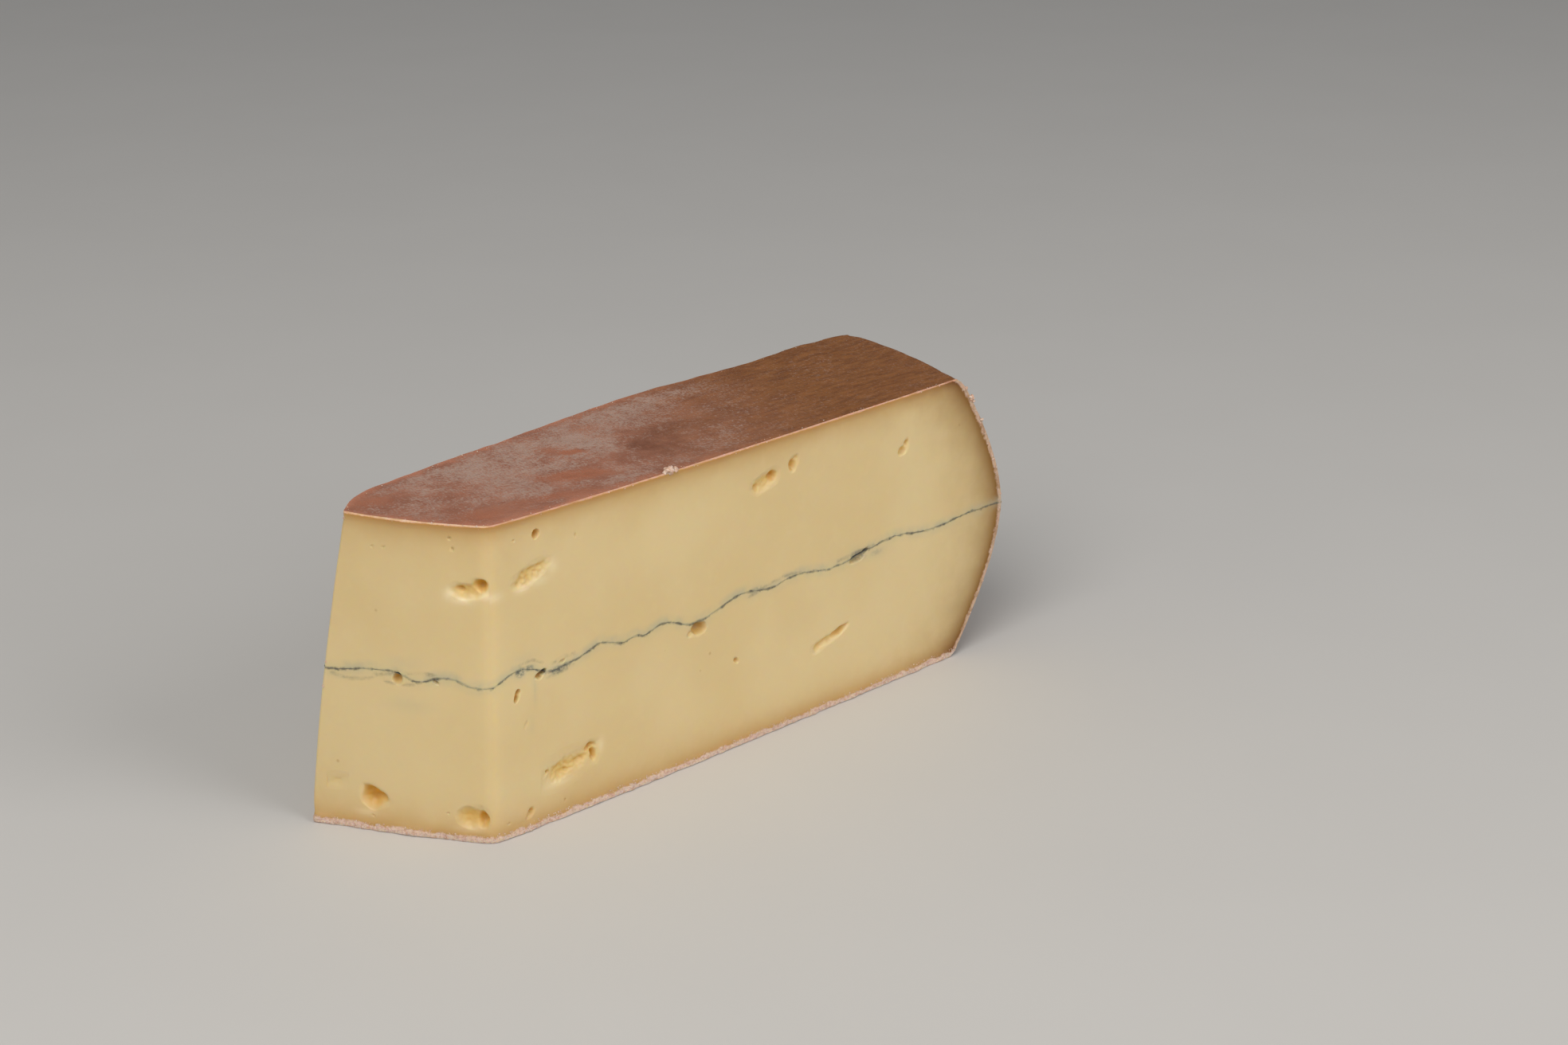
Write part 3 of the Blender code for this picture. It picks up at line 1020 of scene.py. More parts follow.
    def ash_stain(self, bench: Bench, place: Socket, colour: Socket) -> Socket:
        """The ash that the knife has dragged and that has bled into the paste by the layer.

        Args:
            bench: The bench on the tree.
            place: The place in millimetres.
            colour: The colour so far.

        Returns:
            The colour with its ash.
        """
        seam, strand = bench.attribute("from_seam"), bench.attribute("from_strand")
        blot = bench.attribute("ash_blot")
        jitter = bench.minus(bench.noise(place, *self.ash_jitter), 0.5)
        main = bench.math("ABSOLUTE", bench.line(jitter, 0.35, seam))
        second = bench.larger(bench.line(jitter, 1.6, strand), 0.0)
        patch = bench.rise(bench.noise(place, *self.halo_patches), 0.4, 0.62)
        above = bench.rise(seam, -0.3, 0.4)
        halo = bench.rise(main, 0.1, 2.6, 1, 0)
        halo = bench.times(halo, bench.line(above, 0.3, 0.28))
        halo = bench.times(halo, bench.line(patch, 0.75, 0.25))
        halo = bench.larger(halo, bench.times(blot, 0.6))
        colour = bench.mix(halo, colour, self.ash_halo)
        dots = bench.rise(bench.noise(place, *self.ash_dots), 0.36, 0.56)
        dots = bench.times(dots, bench.rise(blot, 0.3, 0.9, 0, 0.9))
        colour = bench.mix(dots, colour, self.ash_blue)
        wide = bench.line(bench.noise(place, *self.ash_widths), 1.3, -0.4)
        line = bench.rise(bench.minus(main, wide), -0.3, 0.25, 1, 0)
        other = bench.rise(bench.minus(second, wide), -0.55, 0.45, 0.62, 0)
        line = bench.larger(line, other)
        grain = bench.rise(bench.noise(place, *self.ash_grains), 0.3, 0.6, 0.4, 0.92)
        broken = bench.rise(bench.noise(place, *self.ash_gaps), 0.38, 0.56, 0.22, 1.0)
        return bench.mix(bench.times(bench.times(line, grain), broken), colour, self.ash)

    def base_band(self, bench: Bench, place: Socket, colour: Socket) -> tuple[Socket, Socket]:
        """The crumbly pale rind along the foot of the cuts, and how much of it there is.

        Args:
            bench: The bench on the tree.
            place: The place in millimetres.
            colour: The colour so far.

        Returns:
            The colour with its band, and the share of the band.
        """
        edge = bench.minus(bench.noise(place, *self.base_edge), 0.5)
        height = bench.line(edge, 2.2, 1.45)
        above = bench.minus(bench.attribute("from_base"), height)
        crumbly = bench.rise(above, -0.25, 0.2, 1, 0)
        mottle = bench.rise(bench.noise(place, *self.base_mottle), 0.34, 0.56)
        crumbs = bench.mix(mottle, self.crumbly_shade, self.crumbly)
        return bench.mix(crumbly, colour, crumbs), crumbly


@dataclass(frozen=True)
class RindFinish:
    """The washed rind: pinkish brown, with grey bloom, blotches and the print of the cloth."""

    rose: Colour = srgb(168, 116, 94)
    brown: Colour = srgb(148, 98, 78)
    bare: Colour = srgb(170, 108, 81)
    dark: Colour = srgb(98, 60, 46)
    edge: Colour = srgb(184, 122, 96)
    bloom: Colour = srgb(177, 149, 134)
    # Heel tones: the rind's own orange-brown, set darker partly as painted shade of the far end.
    heel: Colour = srgb(144, 94, 52)
    heel_dark: Colour = srgb(115, 72, 41)
    pore: Colour = srgb(112, 78, 66)
    speck: Colour = srgb(226, 206, 196)
    thread_pitches: tuple[float, float] = (0.86, 0.98)
    thread_sway: float = 1.9
    thread_sway_per_mm: float = 0.3
    speck_spread: tuple[float, float, float] = (14.0, 0.02, 0.04)
    heel_streaks: tuple[Colour, float, float] = ((0.45, 1.7, 1.7), 0.2, 5.0)
    patches: Grain = (8.0, 5.0, 0.65)
    mark_rags: Grain = (3.0, 5.0, 0.7)
    edge_waver: Grain = (5.0, 4.0, 0.65)
    heel_grain: Grain = (2.6, 5.0, 0.7)
    grit: Grain = (0.5, 4.0, 0.75)
    bumps: Grain = (2.2, 4.0, 0.6)
    bloom_patches: Grain = (12.0, 5.0, 0.62)
    blotches: Grain = (3.4, 4.0, 0.6)
    bloom_grains: Grain = (0.7, 6.0, 0.72)

    def material(self) -> bpy.types.Material:
        """Builds the rind's material.

        Returns:
            The material.
        """
        material, bench, place = new_shader("rind")
        patches = bench.noise(place, *self.patches)
        colour = bench.mix(bench.rise(patches, 0.34, 0.66), self.brown, self.rose)
        ragged = bench.line(bench.noise(place, *self.mark_rags), 1.0, -0.5)
        for mark, tone, most in (("rind_mark", self.bare, 0.8), ("rind_dark", self.dark, 0.75)):
            share = bench.rise(bench.math("ADD", bench.attribute(mark), ragged), 0.1, 1.0, 0, most)
            colour = bench.mix(share, colour, tone)
        waver = bench.line(bench.noise(place, *self.edge_waver), -7.0, bench.attribute("to_edge"))
        colour = bench.mix(bench.rise(waver, -3.8, -1.2, 0.8, 0), colour, self.edge)
        # Towards the heel the rind turns a darker orange-brown: partly its own colour, partly
        # painted shade where the light falls off towards the far end.
        heel = bench.attribute("heelward")
        grain = bench.noise(bench.place_in_mm(*self.heel_streaks), *self.heel_grain)
        outer = bench.mix(bench.rise(grain, 0.34, 0.68), self.heel, self.heel_dark)
        colour = bench.mix(bench.times(heel, 0.93), colour, outer)
        weave = self.weave(bench)
        bloom = self.bloom_share(bench, place, weave, waver, heel)
        colour = bench.mix(bloom, colour, self.bloom)
        grit = bench.noise(place, *self.grit)
        pores = bench.times(bench.rise(weave, 0.3, 0.05), bench.rise(grit, 0.42, 0.62))
        colour = bench.mix(bench.times(pores, 0.26), colour, self.pore)
        colour = bench.mix(bench.specks(place, *self.speck_spread), colour, self.speck)
        normal = bench.bump(bench.noise(place, *self.bumps), 0.25)
        for height, depth in ((weave, 0.05), (grit, 0.10)):
            normal = bench.bump(height, depth, normal)
        dress_shader(
            bench, colour, bench.line(bloom, 0.2, 0.75), normal, Subsurface_Weight=0.12,
            Subsurface_Radius=(1.0, 0.4, 0.2), Subsurface_Scale=0.0015, Specular_IOR_Level=0.1,
        )
        return material

    def weave(self, bench: Bench) -> Socket:
        """The print of the cloth that the wheel was turned in: two fine crossing waves.

        Args:
            bench: The bench on the tree.

        Returns:
            The print, from 0 to 1.
        """
        warp = bench.attribute("cloth", "Vector")
        inputs = {"Vector": warp, "Scale": self.thread_sway_per_mm, "Detail": 3.0}
        shift = bench.add("ShaderNodeTexNoise", inputs)
        sway = (self.thread_sway, self.thread_sway, 0.0)
        moved = bench.vector_math("MULTIPLY", shift.outputs["Color"], sway)
        parts = bench.add("ShaderNodeSeparateXYZ", {0: bench.vector_math("ADD", warp, moved)})
        waves = []
        for part, pitch in zip(parts.outputs, self.thread_pitches):
            waves.append(bench.math("SINE", bench.times(part, 2 * math.pi / pitch)))
        return bench.line(bench.times(*waves), 0.5, 0.5)

    def bloom_share(
        self, bench: Bench, place: Socket, weave: Socket, rim: Socket, heel: Socket
    ) -> Socket:
        """Where the pale bloom lies: by the grain, thicker in patches, less by edge and heel.

        Args:
            bench: The bench on the tree.
            place: The place in millimetres.
            weave: The print of the cloth.
            rim: How near the edge is.
            heel: How near the heel is.

        Returns:
            The share of bloom.
        """
        patch = bench.noise(bench.place_in_mm(seed=3), *self.bloom_patches)
        share = bench.rise(patch, 0.3, 0.7, 0.16, 0.82)
        blotch = bench.minus(bench.noise(bench.place_in_mm(seed=8), *self.blotches), 0.5)
        share = bench.line(blotch, 1.5, share)
        share = bench.line(bench.attribute("rind_mark"), -0.6, share)
        share = bench.line(bench.attribute("rind_dark"), -0.6, share)
        share = bench.times(share, bench.rise(rim, -3.6, 0.2, 0.1, 1))
        share = bench.times(share, bench.line(heel, -0.8, 1.0))
        share = bench.line(bench.minus(weave, 0.5), 0.14, share)
        grains = bench.noise(place, *self.bloom_grains)
        low, high = bench.line(share, -0.36, 0.54), bench.line(share, -0.26, 0.84)
        return bench.rise(grains, low, high, 0, 0.9)


@dataclass(frozen=True)
class AshFinish:
    """The powdery blue-grey ash."""

    dark: Colour = srgb(92, 90, 82)
    pale: Colour = srgb(140, 137, 122)

    def material(self) -> bpy.types.Material:
        """Builds the ash's material.

        Returns:
            The material.
        """
        material, bench, place = new_shader("ash_powder")
        grain = bench.noise(place, 0.6, 4.0, 0.7)
        colour = bench.mix(bench.rise(grain, 0.45, 0.7), self.dark, self.pale)
        dress_shader(bench, colour, bench.line(grain, 0.2, 0.75), bench.bump(grain, 0.12))
        return material


@dataclass(frozen=True)
class CrumbFinish:
    """The loose crumbs of rind."""

    pale: Colour = srgb(226, 199, 180)
    rosy: Colour = srgb(204, 162, 137)

    def material(self) -> bpy.types.Material:
        """Builds the crumbs' material.

        Returns:
            The material.
        """
        material, bench, place = new_shader("rind_crumb")
        tone = bench.noise(place, 1.2, 3.0, 0.6)
        colour = bench.mix(bench.rise(tone, 0.4, 0.62), self.rosy, self.pale)
        grain = bench.noise(place, 0.3, 3.0, 0.6)
        dress_shader(
            bench, colour, bench.line(tone, 0.2, 0.65), bench.bump(grain, 0.06),
            Subsurface_Weight=0.3, Subsurface_Radius=(1.0, 0.6, 0.4), Subsurface_Scale=0.001,
        )
        return material


@dataclass(frozen=True)
class FloorFinish:
    """The plain pale floor."""

    pale: Colour = (0.62, 0.60, 0.57)
    dull: Colour = (0.5, 0.48, 0.45)

    def material(self) -> bpy.types.Material:
        """Builds the floor's material.

        Returns:
            The material.
        """
        material, bench, place = new_shader("floor_pale")
        tone = bench.rise(bench.noise(place, 60.0, 3.0, 0.5), 0.3, 0.7, 0, 0.06)
        dress_shader(bench, bench.mix(tone, self.pale, self.dull), 0.7)
        return material


# ---------------------------------------------------------------- the eyes


@dataclass(frozen=True)
class Lobe:
    """One rounded part of an eye: its place on a cut, its size, depth and tilt (mm, degrees)."""

    along: float
    up: float
    width: float
    tall: float
    deep: float
    tilt: float = 0.0
    lip_start: ClassVar[float] = 0.15
    lip_reach: ClassVar[float] = 0.22
    hollow_power: ClassVar[float] = 2.4

    def depth_at(self, right: np.ndarray, up: np.ndarray) -> np.ndarray:
        """How deep the lobe is at places counted from its middle, and below 0 outside it.

        Args:
            right: How far right of its middle.
            up: How far above it.

        Returns:
            One depth for each place.
        """
        turn, radius = math.radians(self.tilt), min(self.width, self.tall) / 2
        wide = (right * math.cos(turn) + up * math.sin(turn)) / (self.width / 2)
        high = (up * math.cos(turn) - right * math.sin(turn)) / (self.tall / 2)
        share = 1 - np.hypot(wide, high)
        inside = np.maximum(share, 0) * radius
        soft_lip = self.lip_start + (1 - self.lip_start) * inside / (inside + self.lip_reach)
        power = self.hollow_power
        return self.deep * soft_lip * np.where(share > 0, 1 - (1 - share) ** power, power * share)


@dataclass(frozen=True)
class Eye:
    """One eye: lobes that run into each other, and how rough it is inside, in millimetres."""

    lobes: tuple[Lobe, ...]
    rough: float

    def depth_at(self, right: np.ndarray, up: np.ndarray, sign: int, blend: float) -> np.ndarray:
        """How deep the eye is at places of a cut, where the sign says which way along counts.

        Args:
            right: How far right, in millimetres.
            up: How high.
            sign: Which way along counts: 1 or -1.
            blend: How widely the lobes run together.

        Returns:
            One depth for each place.
        """
        total = np.full_like(right, OUTSIDE_EYE)
        for lobe in self.lobes:
            depth = lobe.depth_at(right - sign * lobe.along, up - lobe.up)
            near = np.maximum(blend - np.abs(total - depth), 0)
            total = np.maximum(total, depth) + near**2 / (4 * blend)
        return total


def eye(*lobes: tuple[float, ...], rough: float = 0.03) -> Eye:
    """An eye from its lobes, each (along, up, width, tall, deep, tilt)."""
    return Eye(tuple(Lobe(*lobe) for lobe in lobes), rough)


@dataclass
class Eyes:
    """The hollows that the knife has opened, as cutters."""

    knife: Knife
    front: tuple[Eye, ...] = (
        eye((11.4, 65.5, 2.6, 2.0, 2.4, 50)),
        eye(
            (10.0, 57.3, 10.4, 4.2, 0.7, 18), (7.2, 56.3, 2.8, 2.2, 0.9, 10),
            (9.6, 57.5, 3.4, 2.2, 1.0, 30), (12.2, 58.5, 3.8, 1.8, 1.0, 14),
            (8.2, 57.6, 1.6, 1.0, 1.1, 40), (11.0, 57.4, 1.8, 0.9, 1.1, -10), rough=0.14,
        ),
        eye((11.9, 34.8, 3.4, 1.4, 2.4, 24), (11.3, 34.2, 1.6, 1.5, 2.4, 0), rough=0.12),
        eye((17.3, 36.0, 1.9, 0.8, 0.9, 10)),
        eye((5.8, 32.2, 1.5, 1.9, 2.2, -10), (5.5, 30.9, 1.4, 2.2, 2.4, -20)),
        eye(
            (19.2, 11.9, 14.4, 5.4, 0.5, 10), (16.2, 11.0, 7.6, 4.8, 1.0, 14),
            (21.2, 12.0, 6.0, 2.4, 1.2, 8), (24.4, 14.0, 3.4, 2.1, 2.1, 14),
            (25.2, 11.9, 2.1, 3.6, 2.1, 6), (13.2, 12.1, 1.4, 1.2, 1.5, 0),
            (15.4, 11.6, 2.6, 1.2, 1.3, 30), (17.8, 10.6, 2.8, 1.4, 1.4, -20), rough=0.10,
        ),
        eye((8.4, 4.3, 1.5, 1.9, 1.4, -25), (7.6, 3.4, 1.9, 0.9, 0.6, 45)),
        eye((6.0, 65.5, 0.8, 0.8, 0.5)),
        eye((21.4, 62.7, 0.7, 1.0, 0.5)),
        eye((2.6, 3.5, 1.1, 0.8, 0.4)),
        eye((17.3, 3.9, 0.8, 1.0, 0.5)),
        eye((7.8, 24.6, 0.7, 1.9, 0.3, -20)),
        eye((55.0, 32.0, 4.8, 3.2, 2.4, -8), (52.6, 31.4, 2.4, 1.6, 0.9, 10), rough=0.06),
        eye(
            (74.2, 60.8, 8.0, 4.4, 0.9, 12), (76.6, 61.4, 3.2, 3.0, 2.2, 0),
            (72.0, 60.0, 2.6, 2.2, 1.3, 0), rough=0.06,
        ),
        eye((82.7, 62.4, 2.6, 3.4, 1.7, -15), (83.6, 63.8, 2.0, 1.2, 0.8, 20)),
        eye(
            (93.6, 17.1, 8.0, 2.2, 0.9, 12), (98.2, 18.3, 6.6, 2.0, 2.0, 18),
            (91.2, 16.2, 2.2, 2.4, 0.9, 40), rough=0.06,
        ),
        eye((103.5, 34.6, 5.6, 2.2, 1.6, 8), (106.2, 35.6, 2.6, 1.4, 1.0, 30), rough=0.1),
        eye((118.0, 57.0, 3.4, 2.4, 1.3, 30), (119.4, 58.4, 1.4, 2.0, 1.3, 0)),
        eye((66.0, 21.0, 1.9, 1.4, 1.2, -20)),
    )
    nose: tuple[Eye, ...] = (
        eye(
            (4.4, 55.8, 8.0, 3.9, 1.0, 2), (1.9, 57.1, 3.8, 3.1, 2.4, -14),
            (6.0, 56.2, 2.6, 1.9, 1.8, 0), rough=0.04,
        ),
        eye((20.0, 35.2, 2.2, 2.9, 2.2, -10)),
        eye((11.6, 35.2, 1.7, 1.1, 1.0, -15)),
        eye(
            (26.4, 7.2, 5.7, 5.5, 2.2, 0), (27.2, 8.6, 3.2, 3.7, 2.0, 20),
            (24.7, 7.4, 3.9, 2.8, 2.0, -12), rough=0.05,
        ),
        eye((34.4, 9.8, 3.4, 2.4, 0.22, 10), (34.3, 10.4, 2.4, 0.7, 0.3, 14)),
        eye((4.9, 5.5, 7.0, 5.4, 1.2, 0), (2.3, 5.3, 3.2, 4.6, 2.2, 0), rough=0.05),
        eye((7.9, 66.9, 0.8, 0.9, 0.5)),
        eye((7.2, 64.7, 0.8, 1.0, 0.5)),
        eye((24.8, 63.4, 0.6, 0.6, 0.35)),
        eye((22.1, 63.7, 0.6, 0.6, 0.35)),
        eye((26.8, 3.3, 0.8, 0.7, 0.45)),
        eye((9.8, 6.0, 0.9, 0.6, 0.4)),
    )
    back: tuple[Eye, ...] = (
        eye((24.0, 53.0, 6.0, 4.6, 1.8, 12), (21.6, 52.4, 2.8, 2.6, 1.5, 0)),
        eye((41.0, 19.0, 4.2, 3.2, 1.8, -10)),
        eye((58.0, 60.0, 3.2, 2.4, 1.4, 20), (60.2, 60.8, 2.0, 1.4, 0.9, 20)),
        eye((79.0, 24.0, 8.4, 2.8, 1.3, 16), (81.6, 24.8, 3.0, 2.2, 1.9, 16), rough=0.08),
        eye((97.0, 55.0, 4.4, 3.8, 2.0, -8)),
        eye((112.0, 12.5, 3.8, 3.0, 1.6, 0)),
        eye((128.0, 44.0, 3.4, 2.4, 1.6, 15)),
    )
    step: float = 0.15
    margin: float = 0.9
    outside: float = 1.2
    blend: float = 0.9
    uneven: float = 0.3
    uneven_size: float = 1.9
    rough_size: float = 0.8
    least: float = -0.8
    cutters: bpy.types.Collection = field(init=False)

    def surface(self, side: Side, along: np.ndarray, up: np.ndarray) -> np.ndarray:
        """The plan points of a cut, at places along it.

        Args:
            side: The cut.
            along: How far along it, in millimetres.
            up: The heights, in millimetres.

        Returns:
            One plan point for each place.
        """
        knife = self.knife
        edge, tip = knife.near_edge(up), knife.tip(up)
        if side is Side.NOSE:
            share = along / np.linalg.norm(tip - edge, axis=-1)
            return knife.plan(np.zeros_like(share), share, up)
        cut, start = (knife.front_y, edge) if side is Side.FRONT else (knife.back_y, tip)
        beyond = edge[..., 0] if side is Side.FRONT else 0.0
        share = (along - beyond) / (knife.heel_point(cut, up) - start)[..., 0]
        return knife.plan(share, np.full_like(share, side is Side.BACK), up)

    def cutter(self, side: Side, shape: Eye, number: float) -> bpy.types.Mesh:
        """A closed piece that reaches from outside a cut to the floor of an eye.

        Args:
            side: The cut.
            shape: The eye.
            number: Moves its unevenness.

        Returns:
            The cutter's mesh.
        """
        sign = 1 if side is Side.FRONT else -1
        reach = np.array([max(lobe.width, lobe.tall) / 2 + self.margin for lobe in shape.lobes])
        centres = np.array([(sign * lobe.along, lobe.up) for lobe in shape.lobes])
        low, high = (centres - reach[:, None]).min(0), (centres + reach[:, None]).max(0)
        counts = np.ceil((high - low) / self.step).astype(int)
        block = Block(
            np.linspace(0, 1, counts[0]), np.array([0.0, 1.0]), np.linspace(0, 1, counts[1])
        )
        right, up = low[0] + (high[0] - low[0]) * block.t, low[1] + (high[1] - low[1]) * block.w
        flat = np.column_stack([right, up, np.full_like(up, number)])
        sway = [self.uneven * clouds(flat, self.uneven_size, seed) for seed in (0.0, 1.0)]
        depth = shape.depth_at(right + sway[0], up + sway[1], sign, self.blend)
        depth += shape.rough * 2 * clouds(flat, self.rough_size, 2.0) * ease(depth, 0, 0.5)
        inward = np.where(block.on(Side.BACK), np.maximum(depth, self.least), -self.outside)
        out = {Side.NOSE: self.knife.nose_out, Side.BACK: self.knife.back_out}.get(side, FRONT_OUT)
        plan = self.surface(side, sign * right, up) - inward[:, None] * out
        faces = block.faces(*Side)
        return build_mesh("eye_cutter", np.column_stack([plan, up]), faces, np.zeros(len(faces)))

    def build(self) -> bpy.types.Collection:
        """Makes one cutter for each eye, in a collection that isn't rendered.

        Returns:
            The collection.
        """
        self.cutters = bpy.data.collections.new("eye_cutters")
        bpy.context.scene.collection.children.link(self.cutters)
        draw = random.Random(11)
        for side, shapes in (
            (Side.FRONT, self.front), (Side.NOSE, self.nose), (Side.BACK, self.back),
        ):
            for shape in shapes:
                mesh = self.cutter(side, shape, draw.random() * 40)
                self.cutters.objects.link(bpy.data.objects.new(mesh.name, mesh))
        return self.cutters

    def clear(self) -> None:
        """Removes the cutters, once they have cut."""
        for obj in list(self.cutters.objects):
            mesh = obj.data
            bpy.data.objects.remove(obj)
            bpy.data.meshes.remove(mesh)
        bpy.data.collections.remove(self.cutters)


# ---------------------------------------------------------------- the pieces


class Half(Enum):
    """The two halves of the paste, by the CAD node that each stands for."""

    LOWER = "lower_half"
    UPPER = "upper_half"


@dataclass(frozen=True)
class CutMarks:
    """What strays over the cuts: strands, blots and drag marks of ash, and painted highlights on
    the rims of eyes.
    """

    knife: Knife
    front_depth: float = 7.0
    strand_taper: float = 0.6
    nose_strands: tuple[Line, ...] = (
        ((26, 34.5), (29, 34.0), (31.5, 33.8), (34.5, 34.4)),
        ((20, 36.5), (22, 36.0), (24.5, 35.6)),
        ((17, 34.2), (20, 33.9), (22.5, 34.3)),
        ((12, 36.9), (15, 37.0), (17.5, 36.6)),
    )
    front_strands: tuple[Line, ...] = (
        ((7, 38.1), (9.5, 38.4), (12, 37.2)),
        ((15, 36.2), (17.5, 37.0), (20, 36.7)),
        ((14, 33.4), (17, 33.6), (20, 34.1)),
        ((70, 35.0), (76, 36.4), (82, 36.8), (88, 35.6)),
        ((98, 35.6), (104, 36.2), (110, 36.4)),
    )
    nose_blots: Marks = (
        (20.6, 36.2, 2.2, 0.9, 0.55), (11.9, 35.4, 1.4, 0.9, 0.6), (17.5, 29.6, 4.5, 1.6, 0.3),
        (19.0, 38.6, 4.0, 1.8, 0.3), (32.5, 34.0, 2.4, 0.6, 0.45),
    )
    front_blots: Marks = (
        (6.6, 36.5, 1.5, 1.3, 1.0), (8.6, 36.9, 2.2, 0.9, 0.8), (12.6, 34.9, 1.4, 1.2, 0.6),
        (16.2, 34.3, 2.4, 1.1, 0.9), (18.6, 34.8, 1.6, 1.1, 0.7), (10.2, 31.5, 0.5, 4.2, 0.4),
        (8.0, 39.0, 3.6, 1.6, 0.28), (9.2, 24.0, 0.9, 2.4, 0.25), (29.0, 36.6, 1.5, 0.7, 0.5),
        (55.0, 33.0, 2.6, 1.6, 0.7), (72.0, 36.0, 3.4, 1.4, 0.6), (104.0, 35.2, 4.0, 1.9, 0.8),
        (110.0, 34.4, 4.0, 1.6, 0.5), (133.0, 35.2, 3.0, 1.2, 0.4),
    )
    # Painted highlights on the lips below the eyes: along, up, wide, tall and strength.
    nose_highlights: Marks = (
        (8.3, 55.0, 1.1, 1.3, 0.85), (5.6, 53.7, 2.6, 0.7, 0.8), (0.3, 55.0, 1.9, 1.0, 0.85),
        (28.0, 3.9, 2.6, 0.7, 0.4), (5.0, 2.9, 3.0, 0.6, 0.3),
    )
    front_highlights: Marks = (
        (0.6, 54.4, 2.2, 1.0, 0.7), (7.6, 54.5, 1.8, 0.9, 0.6), (11.6, 55.2, 2.6, 0.9, 0.55),
        (15.4, 57.4, 1.2, 1.4, 0.5), (15.8, 8.4, 3.4, 0.8, 0.5), (27.2, 13.4, 0.9, 1.8, 0.5),
    )

    def along(self, points: np.ndarray) -> tuple[np.ndarray, np.ndarray]:
        """Whether each point is by the nose cut, and how far along its cut it is.

        Args:
            points: The places, one row each.

        Returns:
            Both, for each point.
        """
        edge = self.knife.near_edge(points[:, 2])
        ways = points[:, :2] - edge
        off_nose = -(ways @ self.knife.nose_out)
        on_nose = off_nose < points[:, 1] - self.knife.front_y(points[:, 0], points[:, 2])
        return on_nose, np.where(on_nose, ways @ self.knife.nose_way, points[:, 0])

    def strand(self, points: np.ndarray) -> np.ndarray:
        """The distance to the nearest second strand.

        Args:
            points: The places, one row each.

        Returns:
            One distance for each place.
        """
        on_nose, along = self.along(points)
        nearest = np.full(len(points), NO_STRAND)
        for lines, here in ((self.nose_strands, on_nose), (self.front_strands, ~on_nose)):
            for line in lines:
                beyond = np.maximum(line[0][0] - along, along - line[-1][0])
                past_end = np.maximum(beyond, 0) * self.strand_taper
                away = np.hypot(points[:, 2] - read_line(line, along), past_end)
                nearest = np.where(here, np.minimum(nearest, away), nearest)
        return nearest

    def spots(self, points: np.ndarray, nose: Sequence, front: Sequence) -> np.ndarray:
        """How strongly soft spots (along, up, wide, tall, strength) cover each point.

        Args:
            points: The places, one row each.
            nose: The spots of the nose cut.
            front: The spots of the front cut.

        Returns:
            One strength for each place.
        """
        on_nose, along = self.along(points)
        on_front = ~on_nose & (points[:, 1] < self.front_depth)
        total = np.zeros(len(points))
        for spots, here in ((nose, on_nose), (front, on_front)):
            for place, up, wide, tall, strength in spots:
                away = ((along - place) / wide) ** 2 + ((points[:, 2] - up) / tall) ** 2
                total = np.maximum(total, here * strength * np.exp(-away))
        return total


@dataclass(frozen=True)
class RindMarks:
    """Soft marks on the rind of the top: x, y, length, width and strength, in millimetres."""

    worn: Marks = (
        (-9.0, 27.0, 8.0, 4.0, 0.7), (2.0, 5.0, 8.0, 4.0, 0.8), (22.0, 3.0, 12.0, 2.6, 0.7),
        (39.2, 21.4, 2.6, 1.2, 2.2), (36.0, 25.5, 4.0, 2.0, 0.8), (31.0, 10.5, 9.0, 3.0, 1.2),
        (10.0, 17.0, 7.0, 3.0, 0.35), (61.0, 37.0, 15.0, 5.0, -0.9),
        (19.0, 28.0, 11.0, 6.0, -0.6), (38.0, 30.0, 14.0, 6.0, -0.8), (47.0, 21.0, 6.0, 6.0, -0.6),
        (74.0, 37.0, 14.0, 3.5, -0.6), (18.0, 15.0, 5.0, 4.0, -0.5), (-2.0, 20.0, 6.0, 3.0, -0.4),
    )
    darkened: Marks = (
        (56.0, 13.0, 10.0, 9.0, 0.6), (53.0, 16.0, 4.0, 6.0, 0.15), (68.0, 19.0, 10.0, 5.0, 0.45),
        (31.0, 9.8, 7.0, 1.4, 0.35), (98.0, 22.0, 14.0, 5.0, 0.3), (84.0, 9.0, 9.0, 3.0, 0.3),
    )
    slant: float = math.radians(-20)
    lowest: float = 40.0

    def at(self, points: np.ndarray, spots: Marks) -> np.ndarray:
        """How strongly spots mark each point; worn ones are below 0 where the bloom is thick.

        Args:
            points: The places, one row each.
            spots: The spots.

        Returns:
            One strength for each place.
        """
        total = np.zeros(len(points))
        turn = np.array([math.cos(self.slant), math.sin(self.slant)])
        for x, y, long, wide, strength in spots:
            away = points[:, :2] - np.array([x, y])
            along, across = away @ turn, away @ np.array([-turn[1], turn[0]])
            total += strength * np.exp(-((along / long) ** 2) - (across / wide) ** 2)
        return np.where(points[:, 2] > self.lowest, total, 0.0)


